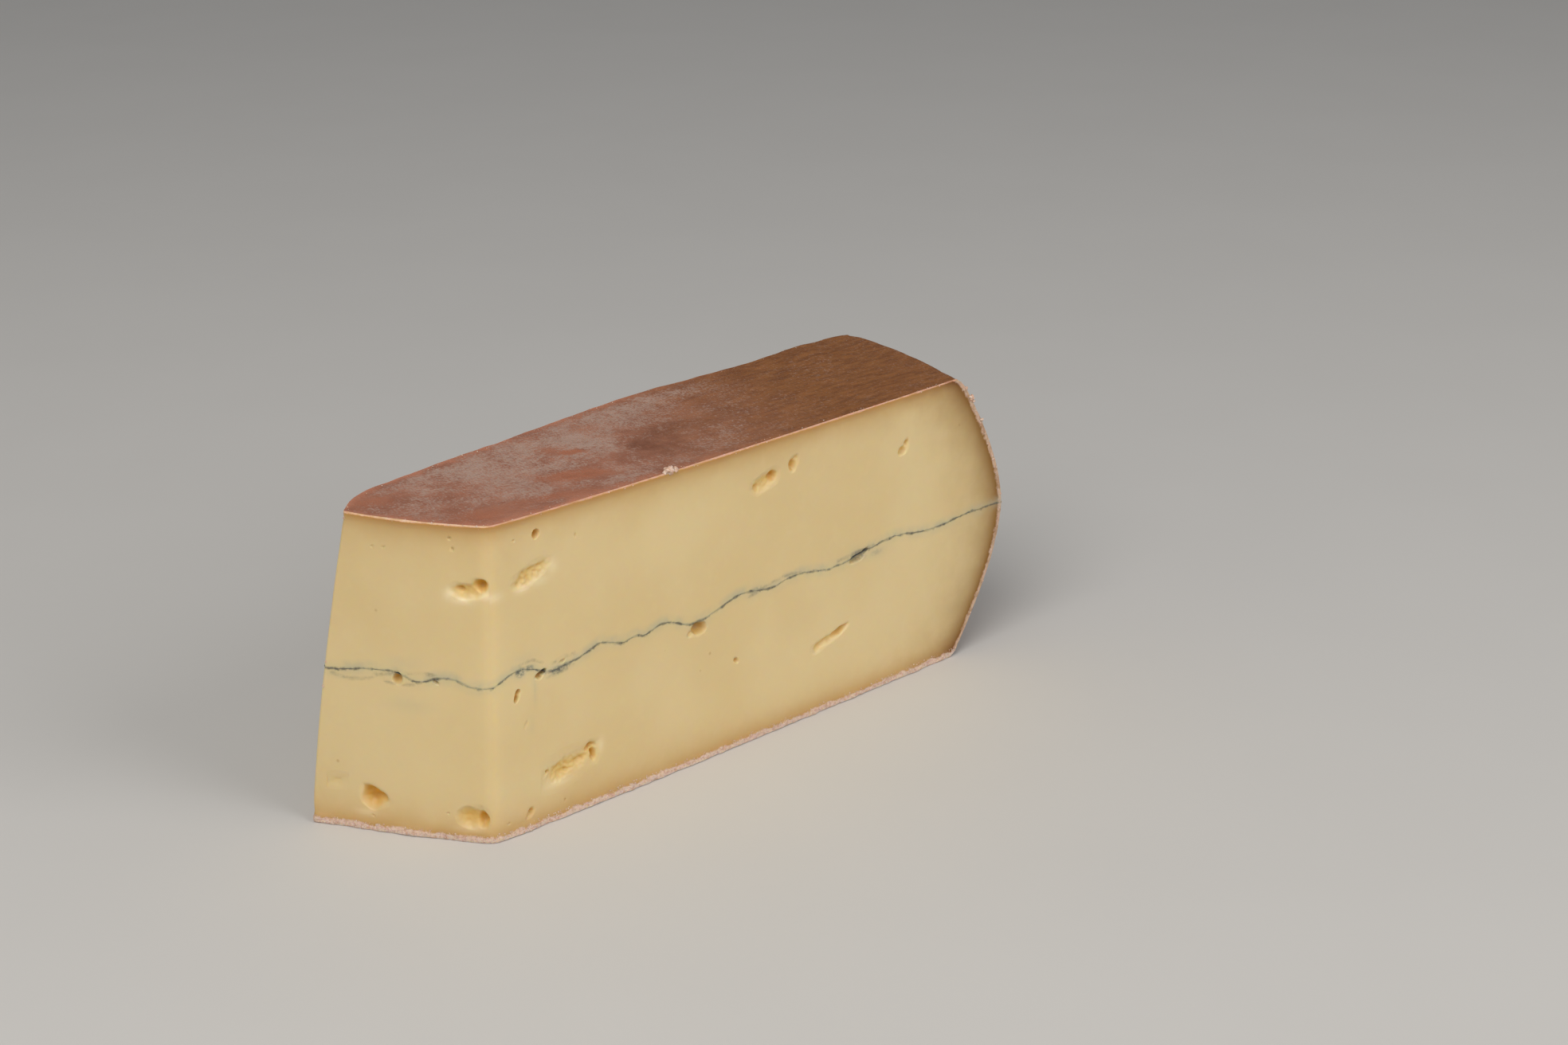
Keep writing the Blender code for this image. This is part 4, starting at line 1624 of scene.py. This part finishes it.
@dataclass
class CheeseHalf:
    """One half of the paste with its rind: a closed skin with lips, relief and eyes."""

    half: Half
    knife: Knife
    seam: AshSeam
    eyes: Eyes
    finishes: tuple[bpy.types.Material, bpy.types.Material]
    lip_foot: float = 0.55
    lip_foot_height: float = 2.3
    lip_top: float = 0.25
    lip_top_height: float = 1.6
    ragged: float = 0.9
    rag_pitch: float = 4.4
    smooth_angle: float = math.radians(48)
    rim_step: float = 0.28
    seam_step: float = 0.4
    foot_steady: float = 0.55
    edge_relief: float = 0.6
    base_relief: float = 0.3
    rounding: float = 0.5
    rounds: int = 3
    crumble_start: float = 0.5
    crumble: Triples = ((0.6, 1.1, 2.0), (0.35, 0.55, 3.0))
    waxy: Triples = ((0.10, 19, 5.0), (0.035, 4.5, 6.0))
    crust: Triples = ((0.24, 15, 7.0), (0.13, 5, 8.0), (0.06, 1.9, 9.0))
    cloth_turn: float = math.radians(24)
    plan_start: float = -5.0
    plan_size: tuple[float, float] = (165.0, 45.0)
    base_rim: float = 0.6
    far_from_base: float = 9.0
    heel_blend: tuple[float, float] = (-96.0, -30.0)

    @property
    def face(self) -> Side:
        """The side with the wheel's top or base on it."""
        return Side.HIGH if self.half is Half.UPPER else Side.LOW

    def grid(self) -> Block:
        """The grid of the skin, fine at its edges.

        Returns:
            The grid.
        """
        rim, seam = self.rim_step, self.seam_step
        ends = (seam, rim) if self.half is Half.UPPER else (rim, seam)
        return Block(
            fitted_steps(length=182, start=0.30, end=0.30, most=0.62, growth=0.09),
            fitted_steps(length=46, start=0.30, end=0.30, most=0.95, growth=0.10),
            fitted_steps(length=34.5, start=ends[0], end=ends[1], most=0.78, growth=0.06),
        )

    def raw_points(self, block: Block) -> np.ndarray:
        """The skin's points before its relief, between the seam and the rind.

        Args:
            block: The grid.

        Returns:
            The points, one row each.
        """
        middle = np.full(len(block.t), self.seam.mean)
        plan = self.knife.plan(block.t, block.v, middle)
        seam = self.seam.height_at(plan)
        gap = self.seam.thickness_at(plan) / 2
        if self.half is Half.UPPER:
            low, high = seam + gap, self.knife.top(block.t, block.v)
        else:
            low, high = np.zeros_like(seam), seam - gap
        z = low + (high - low) * block.w
        return np.column_stack([self.knife.plan(block.t, block.v, z), z])

    def lip(self, points: np.ndarray) -> np.ndarray:
        """How far the cut faces stand out: the rind's lip at the foot and at the top.

        Args:
            points: The places, one row each.

        Returns:
            How far, in millimetres, for each point.
        """
        z = points[:, 2]
        foot = np.clip(1 - (z / self.lip_foot_height) ** 2, 0, 1)
        top = np.clip(1 - (self.knife.wheel.height - z) / self.lip_top_height, 0, 1)
        flat = points * np.array([1, 1, 0.0])
        rag = 1 + self.ragged * clouds(flat, self.rag_pitch, 1.0)
        crumbly = layered(points, self.crumble, self.crumble_start)
        uneven = self.foot_steady + (1 - self.foot_steady) * crumbly
        return self.lip_foot * foot * rag * uneven + self.lip_top * top * rag

    def relief(self, block: Block, points: np.ndarray) -> np.ndarray:
        """How far each point of the skin stands out, by its side.

        Args:
            block: The grid.
            points: The places, one row each.

        Returns:
            How far, in millimetres, for each point.
        """
        cut = block.on(Side.FRONT, Side.BACK, Side.NOSE)
        rind = block.on(Side.HEEL, self.face)
        crust = layered(points, self.crust)
        amount = np.where(cut, layered(points, self.waxy) + self.lip(points), 0.0)
        amount = np.where(rind & ~cut, crust, amount)
        amount = np.where(rind & cut, (crust + amount) * self.edge_relief, amount)
        if self.half is Half.LOWER:
            base = block.on(Side.LOW) & ~cut
            amount = np.where(base, np.minimum(amount, 0) * self.base_relief, amount)
        return amount

    def skin(self) -> bpy.types.Mesh:
        """Makes the closed skin, with its edges rounded and its relief raised.

        Returns:
            The skin's mesh.
        """
        block = self.grid()
        points = self.raw_points(block)
        faces = block.faces(*Side)
        on_seam = block.on(Side.LOW if self.half is Half.UPPER else Side.HIGH)
        points = relax(points, faces, np.where(on_seam, 0.0, self.rounding), self.rounds)
        outward = outward_at(points, faces)
        rim = on_seam & block.on(Side.FRONT, Side.BACK, Side.NOSE, Side.HEEL)
        outward[rim, 2] = 0
        outward[rim] /= np.maximum(np.linalg.norm(outward[rim], axis=1, keepdims=True), 1e-9)
        points += outward * self.relief(block, points)[:, None]
        if self.half is Half.LOWER:
            points[:, 2] = np.maximum(points[:, 2], 0.0)
        rind = (Side.HEEL, self.face)
        slots = np.concatenate([np.full(len(block.faces(side)), side in rind) for side in Side])
        return build_mesh(self.half.value, points, faces, slots)

    def cut_eyes(self, obj: bpy.types.Object) -> None:
        """Cuts the eyes out of the skin.

        Args:
            obj: The object with the skin.
        """
        cut = obj.modifiers.new("eyes", "BOOLEAN")
        cut.operation, cut.solver, cut.operand_type = "DIFFERENCE", "MANIFOLD", "COLLECTION"
        cut.collection = self.eyes.cutters
        apply_modifiers(obj)

    def measure(self, mesh: bpy.types.Mesh) -> None:
        """Writes on the mesh what its materials read: distances to the rind, seam and cuts.

        Args:
            mesh: The mesh with its eyes cut.
        """
        points = mesh_points(mesh)
        plan, z = points[:, :2], points[:, 2]
        out, outward = self.knife.wheel.from_middle(plan)
        to_heel = self.knife.wheel.radius_at(z) - out
        long, wide = self.plan_size
        share = np.clip((plan[:, 0] - self.plan_start) / long, 0, 1)
        depth = self.knife.depth_below(points)
        across = np.clip((plan[:, 1] - self.knife.front_y(plan[:, 0], z)) / wide, 0, 1)
        top = self.knife.top(share, across)
        upper = self.half is Half.UPPER
        marks, rind = CutMarks(self.knife), RindMarks()
        up = column(mesh.vertex_normals, "vector", np.float32, 3)[:, 2]
        laid_flat = plan + outward * np.maximum(top - z, 0)[:, None]
        cos, sin = math.cos(self.cloth_turn), math.sin(self.cloth_turn)
        threads = laid_flat @ np.array([[cos, -sin, 0], [sin, cos, 0]])
        values = {
            "from_rim": top - z if upper else np.maximum(z - self.base_rim, 0),
            "from_base": np.full_like(z, self.far_from_base) if upper else z,
            "from_heel": to_heel,
            "from_seam": z - self.seam.height_at(plan),
            "from_strand": marks.strand(points),
            "ash_blot": marks.spots(points, marks.nose_blots, marks.front_blots),
            # Painted highlight: how strongly the cream patches below the eyes cover each point.
            "cream": marks.spots(points, marks.nose_highlights, marks.front_highlights),
            # Painted shade: how far each point faces down, which deepens the eye tints.
            "overhang": ease(-up, -0.5, 0.5),
            "pit": depth,
            "to_edge": depth,
            # How near the heel each point is, where the rind darkens: partly its own colour, partly
            # painted shade.
            "heelward": ease(-to_heel, *self.heel_blend),
            "rind_mark": rind.at(points, rind.worn),
            "rind_dark": rind.at(points, rind.darkened),
            "on_nose": marks.along(points)[0],
            "cloth": threads,
        }
        for name, value in values.items():
            write_attribute(mesh, name, value)

    def build(self) -> bpy.types.Object:
        """Builds and dresses the half, in place of its CAD node.

        Returns:
            The finished piece.
        """
        obj = new_object(f"{self.half.name.lower()}_paste", self.skin())
        for material in self.finishes:
            obj.data.materials.append(material)
        self.cut_eyes(obj)
        obj.data.polygons.foreach_set("use_smooth", np.ones(len(obj.data.polygons), bool))
        obj.data.set_sharp_from_angle(angle=self.smooth_angle)
        self.measure(obj.data)
        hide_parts(self.half.value)
        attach(obj, "root")
        LOG.info("%s: %d triangles", obj.name, sum(len(p.vertices) - 2 for p in obj.data.polygons))
        return obj


@dataclass
class AshSheet:
    """The thin uneven layer of ash between the halves."""

    knife: Knife
    seam: AshSeam
    finish: bpy.types.Material
    inset: float = 0.08
    heel_inset: float = 1.2
    least: float = 0.02
    slack: float = 0.98
    smooth_angle: float = math.radians(40)

    def build(self) -> bpy.types.Object:
        """Builds and dresses the sheet, in place of its CAD node.

        Returns:
            The finished piece.
        """
        block = Block(
            fitted_steps(length=178, start=0.35, end=0.35, most=0.7, growth=0.09),
            fitted_steps(length=46, start=0.35, end=0.35, most=1.3, growth=0.10),
            np.array([0.0, 1.0]),
        )
        middle = np.full(len(block.t), self.seam.mean)
        plan = self.knife.plan(block.t, block.v, middle)
        thick = self.seam.thickness_at(plan)
        z = self.seam.height_at(plan) + (block.w - 0.5) * np.maximum(thick, self.least) * self.slack
        points = np.column_stack([self.knife.plan(block.t, block.v, z), z])
        faces = block.faces(*Side)
        knife = self.knife
        radial = knife.wheel.from_middle(plan)[1]
        for side, way, inset in (
            (Side.FRONT, FRONT_OUT, self.inset), (Side.BACK, knife.back_out, self.inset),
            (Side.NOSE, knife.nose_out, self.inset), (Side.HEEL, radial, self.heel_inset),
        ):
            points[:, :2] -= np.where(block.on(side), inset, 0.0)[:, None] * way
        mesh = build_mesh("ash_powder_sheet", points, faces, np.zeros(len(faces)))
        obj = new_object("ash_sheet", mesh)
        mesh.materials.append(self.finish)
        mesh.set_sharp_from_angle(angle=self.smooth_angle)
        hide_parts("ash_layer")
        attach(obj, "root")
        LOG.info("%s: %d faces", obj.name, len(mesh.polygons))
        return obj


class Strip(Enum):
    """The strips of the cuts that crumbs of rind lie on."""

    BASE = "base_crumbs"
    RIM = "rim_crumbs"
    HEEL = "heel_crumbs"


@dataclass
class RindCrumbs:
    """Loose crumbs of rind on one strip of the cuts, strewn by Geometry Nodes (sizes in mm)."""

    strip: Strip
    per_mm2: float
    smallest: float
    largest: float
    finish: bpy.types.Material
    seed: int
    sunk: float = 0.3
    uneven: float = 0.12
    mostly_small: float = 2.5
    flattest: float = 0.6
    bumps_per_m: float = 3000.0
    base_strip: tuple[float, float] = (0.3, 1.7)
    heel_strip: tuple[float, float] = (-1.0, 1.2)
    rim_width: float = 0.8
    off_seam: float = 5.0
    off_heel: float = 0.3
    deepest: float = 0.9
    deepest_by_heel: float = 0.7

    def chosen(self, mesh: bpy.types.Mesh) -> np.ndarray:
        """The numbers of the faces of a half that the strip takes in.

        Args:
            mesh: A half's mesh.

        Returns:
            The numbers.
        """
        first = column(mesh.polygons, "loop_start", np.int32)
        corner = column(mesh.loops, "vertex_index", np.int32)[first]
        from_base, from_rim, from_heel, from_seam, pit = (
            column(mesh.attributes[name].data, "value", np.float32)[corner]
            for name in ("from_base", "from_rim", "from_heel", "from_seam", "pit")
        )
        if self.strip is Strip.BASE:
            low, high = self.base_strip
            paste = column(mesh.polygons, "material_index", np.int32) == 0
            inside = paste & (from_base > low) & (from_base < high) & (from_heel > self.off_heel)
        elif self.strip is Strip.RIM:
            inside = (from_rim < self.rim_width) & (from_seam > self.off_seam)
        else:
            low, high = self.heel_strip
            inside = (from_heel > low) & (from_heel < high) & (pit < self.deepest_by_heel)
        return np.flatnonzero(inside & (pit < self.deepest))

    def ground(self, halves: Sequence[bpy.types.Object]) -> bpy.types.Mesh:
        """A mesh of the strip's faces.

        Args:
            halves: The two halves.

        Returns:
            The mesh.
        """
        places, rings = [], []
        for half in halves:
            mesh = half.data
            for number in self.chosen(mesh):
                ring = mesh.polygons[int(number)].vertices
                rings.append(tuple(range(len(places), len(places) + len(ring))))
                places.extend(tuple(mesh.vertices[v].co) for v in ring)
        strip = bpy.data.meshes.new("strip")
        strip.from_pydata(places, [], rings)
        return strip

    @staticmethod
    def drawn(bench: Bench, low: Any, high: Any, seed: int) -> Socket:
        """A number or a vector between low and high, drawn for each crumb.

        Args:
            bench: The bench on the tree.
            low: The lowest value.
            high: The highest value.
            seed: The seed of the draw.

        Returns:
            What is drawn.
        """
        kind, first = ("FLOAT_VECTOR", 0) if isinstance(low, tuple) else ("FLOAT", 2)
        inputs = {first: low, first + 1: high, "Seed": seed}
        return bench.add("FunctionNodeRandomValue", inputs, data_type=kind).outputs[first // 2]

    @staticmethod
    def moved(bench: Bench, geometry: Socket, offset: Socket) -> Socket:
        """A geometry whose points are moved."""
        inputs = {"Geometry": geometry, "Offset": offset}
        return bench.add("GeometryNodeSetPosition", inputs).outputs[0]

    def tree(self) -> bpy.types.NodeTree:
        """The nodes that strew, turn, size and roughen the crumbs.

        Returns:
            The tree, with named inputs.
        """
        tree = bpy.data.node_groups.new("strewn_crumbs", "GeometryNodeTree")
        sockets = [("Geometry", "Geometry", "INPUT"), ("Geometry", "Geometry", "OUTPUT")]
        sockets += [("Seed", "Int", "INPUT"), ("Material", "Material", "INPUT")]
        for name in ("Density", "Smallest", "Largest", "Sunk", "Uneven"):
            sockets.append((name, "Float", "INPUT"))
        for name, kind, way in sockets:
            tree.interface.new_socket(name=name, in_out=way, socket_type=f"NodeSocket{kind}")
        bench = Bench(tree)
        given = bench.add("NodeGroupInput").outputs
        strewn = bench.add("GeometryNodeDistributePointsOnFaces", {
            "Mesh": given["Geometry"], "Density": given["Density"], "Seed": given["Seed"],
        }).outputs
        share = bench.math("POWER", self.drawn(bench, 0.0, 1.0, 3), self.mostly_small)
        span = bench.minus(given["Largest"], given["Smallest"])
        size = bench.line(share, span, given["Smallest"])
        depth = bench.times(bench.times(size, given["Sunk"]), -1.0)
        inward = bench.vector_math("SCALE", strewn["Normal"], depth)
        points = self.moved(bench, strewn["Points"], inward)
        crumb = bench.add("GeometryNodeMeshIcoSphere", {"Radius": 1.0, "Subdivisions": 1})
        turn = self.drawn(bench, (0.0,) * 3, (2 * math.pi,) * 3, 5)
        flat = self.drawn(bench, (self.flattest,) * 3, (1.0,) * 3, 7)
        placed = bench.add("GeometryNodeInstanceOnPoints", {
            "Points": points, "Instance": crumb.outputs["Mesh"], "Rotation": turn,
            "Scale": bench.vector_math("SCALE", flat, size),
        })
        real = bench.add("GeometryNodeRealizeInstances", {"Geometry": placed.outputs[0]}).outputs[0]
        lumps = bench.add("ShaderNodeTexNoise", {"Scale": self.bumps_per_m, "Detail": 1.0})
        centred = bench.vector_math("SUBTRACT", lumps.outputs["Color"], (0.5, 0.5, 0.5))
        rough = self.moved(bench, real, bench.vector_math("SCALE", centred, given["Uneven"]))
        dressed = bench.add(
            "GeometryNodeSetMaterial", {"Geometry": rough, "Material": given["Material"]}
        )
        bench.add("NodeGroupOutput", {0: dressed.outputs[0]})
        return tree

    def build(self, halves: Sequence[bpy.types.Object]) -> bpy.types.Object:
        """Strews the crumbs on the strip and makes one joined piece of them.

        Args:
            halves: The two halves.

        Returns:
            The finished piece.
        """
        ground = self.ground(halves)
        obj = new_object(self.strip.value, ground)
        maker = obj.modifiers.new("crumbs", "NODES")
        maker.node_group = self.tree()
        values = {
            "Density": self.per_mm2 / MM**2, "Smallest": self.smallest * MM,
            "Largest": self.largest * MM, "Sunk": self.sunk, "Uneven": self.uneven * MM,
            "Seed": self.seed, "Material": self.finish,
        }
        for item in maker.node_group.interface.items_tree:
            if item.in_out == "INPUT" and item.name in values:
                maker[item.identifier] = values[item.name]
        apply_modifiers(obj)
        bpy.data.meshes.remove(ground)
        mesh = obj.data
        mesh.name = self.strip.value
        for vertex in mesh.vertices:
            vertex.co.z = max(vertex.co.z, 0.0)
        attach(obj, "root")
        LOG.info("%s: %d faces", obj.name, len(mesh.polygons))
        return obj


@dataclass
class Flakes:
    """A few larger crumbs of rind that cling to the cuts' edges, by height and radius (mm)."""

    knife: Knife
    finish: bpy.types.Material
    on_front: Triples = ((46.8, 70.3, 1.05), (48.4, 70.0, 0.7), (45.6, 70.0, 0.55))
    on_tip: Line = ((31.0, 0.4), (36.6, 0.3), (68.6, 0.35), (69.6, 0.3))
    on_heel: Line = ((64.3, 0.7), (63.2, 0.45), (58.0, 0.4), (67.0, 0.4))
    front_inset: float = 0.2
    tip_inset: float = 0.45
    lumpy: float = 0.7
    coarse: float = 1.6
    fine: float = 4.0
    fine_share: float = 0.4
    flat: float = 0.8

    def places(self) -> list[tuple[float, float, float, float]]:
        """Each flake's middle and its radius.

        Returns:
            One row for each flake.
        """
        knife, found = self.knife, []
        for x, z, radius in self.on_front:
            y = float(knife.front_y(np.array(x), np.array(z))) + self.front_inset
            found.append((x, y, z, radius))
        for z, radius in self.on_tip:
            place = knife.tip(np.array(z)) - (knife.nose_out + knife.back_out) * self.tip_inset
            found.append((*place.tolist(), z, radius))
        for z, radius in self.on_heel:
            place = knife.heel_point(knife.front_y, np.array(z))
            found.append((*place.tolist(), z, radius))
        return found

    def build(self) -> bpy.types.Object:
        """Makes the flakes as one joined piece.

        Returns:
            The finished piece.
        """
        joined = bmesh.new()
        for number, (x, y, z, radius) in enumerate(self.places()):
            made = bmesh.ops.create_icosphere(joined, subdivisions=3, radius=1.0)
            for vertex in made["verts"]:
                way = vertex.co.copy()
                lump = noise.noise(way * self.coarse + Vector((number * 3.1, 0, 0)))
                small = noise.noise(way * self.fine + Vector((0, number * 2.3, 0)))
                size = radius * (1 + self.lumpy * (lump + self.fine_share * small))
                low = size * self.flat
                vertex.co = (x + way.x * size, y + way.y * low, z + way.z * low)
        for vertex in joined.verts:
            vertex.co = to_world(np.array(vertex.co))
        mesh = bpy.data.meshes.new("rind_flakes")
        joined.to_mesh(mesh)
        joined.free()
        mesh.polygons.foreach_set("use_smooth", np.ones(len(mesh.polygons), bool))
        mesh.materials.append(self.finish)
        obj = new_object("rind_flakes", mesh)
        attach(obj, "root")
        LOG.info("%s: %d faces", obj.name, len(mesh.polygons))
        return obj


@dataclass
class Studio:
    """The floor, the light and the camera (lamps in metres and watts, camera in drawn mm)."""

    camera_place: Colour = (-290.6, -384.4, 254.0)
    camera_way: tuple[float, float] = (0.69489, 0.71912)
    camera_drop: float = math.atan(1256 / 3280)
    lens: float = 60.0
    aim: Colour = (0.0, 0.0, 0.035)
    lamp_size: float = 0.9
    lamps: tuple[tuple[str, Colour, float, Colour], ...] = (
        ("key_light", (-0.80, -0.40, 0.95), 9.7, (1.0, 0.98, 0.95)),
        ("fill_light", (0.35, -1.15, 0.70), 7.1, (1.0, 0.99, 0.98)),
    )
    sky: Colour = (0.95, 0.97, 1.0)
    sky_strength: float = 0.26
    floor_reach: float = 6.0

    def light(self) -> None:
        """Plain soft studio light: a large lamp at the camera's left, a weak one at its right."""
        for name, place, power, tint in self.lamps:
            lamp = bpy.data.lights.new(name, "AREA")
            lamp.shape, lamp.size, lamp.energy, lamp.color = "DISK", self.lamp_size, power, tint
            obj = new_object(name, lamp)
            obj.location = place
            way = Vector(self.aim) - Vector(place)
            obj.rotation_euler = way.to_track_quat("-Z", "Y").to_euler()
        world = bpy.data.worlds.new("studio")
        world.use_nodes = True
        ground = world.node_tree.nodes["Background"]
        ground.inputs["Color"].default_value = (*self.sky, 1.0)
        ground.inputs["Strength"].default_value = self.sky_strength
        bpy.context.scene.world = world

    def floor(self) -> None:
        """The pale floor."""
        mesh = bpy.data.meshes.new("floor")
        far = self.floor_reach
        corners = [(-far, -far, 0), (far, -far, 0), (far, far, 0), (-far, far, 0)]
        mesh.from_pydata(corners, [], [(0, 1, 2, 3)])
        mesh.materials.append(FloorFinish().material())
        new_object("floor", mesh)

    def camera(self) -> None:
        """The camera, at the photograph's place and angle."""
        drop = self.camera_drop
        ahead = Vector((*(c * math.cos(drop) for c in self.camera_way), -math.sin(drop)))
        right = Vector((self.camera_way[1], -self.camera_way[0], 0)).normalized()
        turn = Matrix((right, right.cross(ahead), -ahead)).transposed().to_4x4()
        turn.translation = Vector(to_world(np.array(self.camera_place)))
        lens = bpy.data.cameras.new("camera")
        lens.lens, lens.sensor_width, lens.sensor_fit = self.lens, 36.0, "HORIZONTAL"
        lens.clip_start = 0.01
        obj = new_object("camera", lens)
        obj.matrix_world = turn
        bpy.context.scene.camera = obj

    def build(self) -> None:
        """Sets the floor, the light and the camera up."""
        self.floor()
        self.light()
        self.camera()
        bpy.context.scene.view_settings.view_transform = "Standard"
        LOG.info("studio: floor, lights and camera")


def write_sizes() -> None:
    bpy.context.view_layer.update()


def main() -> None:
    """Builds the wedge, piece by piece, and the studio around it."""
    logging.basicConfig(level=logging.INFO, format="%(name)s: %(message)s")
    wheel = Wheel()
    knife = Knife(wheel)
    seam = AshSeam(knife)
    eyes = Eyes(knife)
    eyes.build()
    finishes = (PasteFinish().material(), RindFinish().material())
    halves = [CheeseHalf(half, knife, seam, eyes, finishes).build() for half in Half]
    AshSheet(knife, seam, AshFinish().material()).build()
    crumb = CrumbFinish().material()
    for crumbs in (
        RindCrumbs(Strip.BASE, 3.4, 0.08, 0.32, crumb, seed=2),
        RindCrumbs(Strip.RIM, 0.35, 0.08, 0.26, crumb, seed=3),
        RindCrumbs(Strip.HEEL, 1.0, 0.1, 0.42, crumb, seed=4),
    ):
        crumbs.build(halves)
    Flakes(knife, crumb).build()
    eyes.clear()
    Studio().build()
    write_sizes()


if __name__ == "__main__":
    main()
